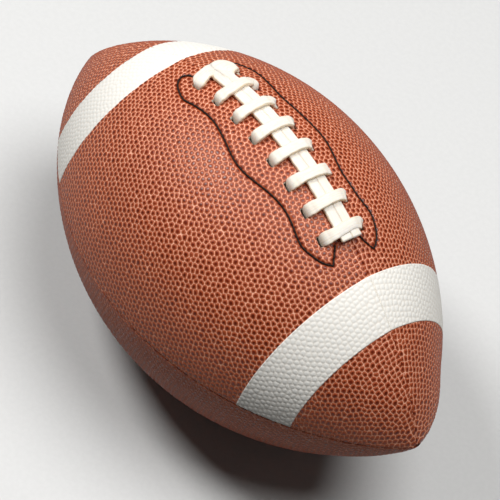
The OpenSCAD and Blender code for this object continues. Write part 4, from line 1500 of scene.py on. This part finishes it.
class FOOTBALL_OT_stage(bpy.types.Operator):
    """Pale floor, soft studio light and the camera at the photo's angle"""

    bl_idname = "football.stage"
    bl_label = "Stage"

    def execute(self, context):
        scene = context.scene
        stage = scene.football_stage
        self.floor(tuple(stage.floor))
        self.lights(stage.key_power, stage.fill_power)
        self.room(scene, stage.world)
        self.camera(scene)
        scene.view_settings.view_transform = "Standard"
        return {"FINISHED"}

    def floor(self, colour):
        """A wide, pale, finely speckled floor that throws little light up at the ball."""
        corners = FLOOR_HALF * np.array([[-1, -1, 0], [1, -1, 0], [1, 1, 0], [-1, 1, 0]])
        piece = put_mesh("floor", corners, [[0, 1, 2, 3]])
        material, tree, shader = new_finish("pale floor", Roughness=0.85, Specular_IOR_Level=0.2)
        speck = ramp(tree, object_noise(tree, 400.0, 4.0), 0.3, 0.7)
        rays = tree.nodes.new("ShaderNodeLightPath").outputs
        seen = maths(tree, "MAXIMUM", rays["Is Camera Ray"], rays["Is Glossy Ray"])
        seen = maths(tree, "MAXIMUM", seen, rays["Is Transmission Ray"])
        pale = mix_colour(tree, speck, tinted(colour, 0.97, 0.97, 0.97), colour)
        tree.links.new(mix_colour(tree, seen, (0.05, 0.05, 0.05, 1), pale), shader["Base Color"])
        piece.data.materials.append(material)

    def lights(self, key_power, fill_power):
        """A large soft light overhead and a smaller one on the left."""
        centre = np.array([0.0, 0.0, AXIS_Z * MM])
        for name, way, distance, size, power in (
            ("key", (0.15, 0.15, 0.98), 1.5, 1.1, key_power),
            ("fill", (-0.5, -0.3, 0.81), 1.6, 0.5, fill_power),
        ):
            lamp = bpy.data.lights.new(name, "AREA")
            lamp.shape = "DISK"
            lamp.size = size
            lamp.energy = power
            back = unit(np.array(way))
            side = unit(np.cross([0.0, 1.0, 0.0], back))
            stand(name, lamp, side, np.cross(back, side), back, centre + back * distance)

    def room(self, scene, strength):
        """An even, faint light from all round, and a pale background."""
        world = bpy.data.worlds.new("room")
        world.use_nodes = True
        tree = world.node_tree
        tree.nodes.clear()
        light = add_node(tree, "ShaderNodeBackground", {"Color": (1, 1, 1, 1), "Strength": strength})
        shown = add_node(tree, "ShaderNodeBackground", {"Color": (0.9, 0.9, 0.89, 1), "Strength": 1.0})
        ray = tree.nodes.new("ShaderNodeLightPath").outputs["Is Camera Ray"]
        both = tree.nodes.new("ShaderNodeMixShader")
        tree.links.new(ray, both.inputs[0])
        tree.links.new(light.outputs[0], both.inputs[1])
        tree.links.new(shown.outputs[0], both.inputs[2])
        leave = tree.nodes.new("ShaderNodeOutputWorld")
        tree.links.new(both.outputs[0], leave.inputs["Surface"])
        scene.world = world

    def camera(self, scene):
        """The camera at the photo's view."""
        lens = bpy.data.cameras.new("camera")
        lens.lens = VIEW_LENS
        lens.sensor_width = VIEW_SENSOR
        lens.clip_end = 20.0
        place = (np.array(VIEW_PLACE) + np.array([0.0, 0.0, AXIS_Z])) * MM
        over, back = -np.array([VIEW_DOWN, VIEW_AHEAD])
        scene.camera = stand("camera", lens, VIEW_RIGHT, over, back, place)


class FOOTBALL_PT_sidebar(bpy.types.Panel):
    """Lists the football's sizes, colours and builders"""

    bl_idname = "FOOTBALL_PT_sidebar"
    bl_label = "Football"
    bl_space_type = "VIEW_3D"
    bl_region_type = "UI"
    bl_category = "Football"

    def draw(self, context):
        scene = context.scene
        for settings in (scene.football_sizes, scene.football_colours, scene.football_stage):
            box = self.layout.box()
            for key in settings.bl_rna.properties.keys():
                if key not in ("rna_type", "name"):
                    box.prop(settings, key)
        for operator in OPERATORS:
            self.layout.operator(operator.bl_idname)


SETTINGS = (FootballSizes, FootballColours, FootballStage)
OPERATORS = (
    FOOTBALL_OT_upper_cover,
    FOOTBALL_OT_lower_cover,
    FOOTBALL_OT_stripes,
    FOOTBALL_OT_lace,
    FOOTBALL_OT_stitching,
    FOOTBALL_OT_inner_pieces,
    FOOTBALL_OT_stage,
)


def register():
    """Add the classes and the settings of the scene."""
    for item in SETTINGS + OPERATORS + (FOOTBALL_PT_sidebar,):
        bpy.utils.register_class(item)
    bpy.types.Scene.football_sizes = bpy.props.PointerProperty(type=FootballSizes)
    bpy.types.Scene.football_colours = bpy.props.PointerProperty(type=FootballColours)
    bpy.types.Scene.football_stage = bpy.props.PointerProperty(type=FootballStage)


def unregister():
    """Take them away again."""
    for key in ("football_stage", "football_colours", "football_sizes"):
        delattr(bpy.types.Scene, key)
    for item in reversed(SETTINGS + OPERATORS + (FOOTBALL_PT_sidebar,)):
        bpy.utils.unregister_class(item)


def main():
    """Register, build every piece and the stage."""
    register()
    bpy.ops.football.upper_cover()
    bpy.ops.football.lower_cover()
    bpy.ops.football.stripes()
    bpy.ops.football.lace()
    bpy.ops.football.stitching()
    bpy.ops.football.inner_pieces()
    bpy.ops.football.stage()


if __name__ == "__main__":
    main()
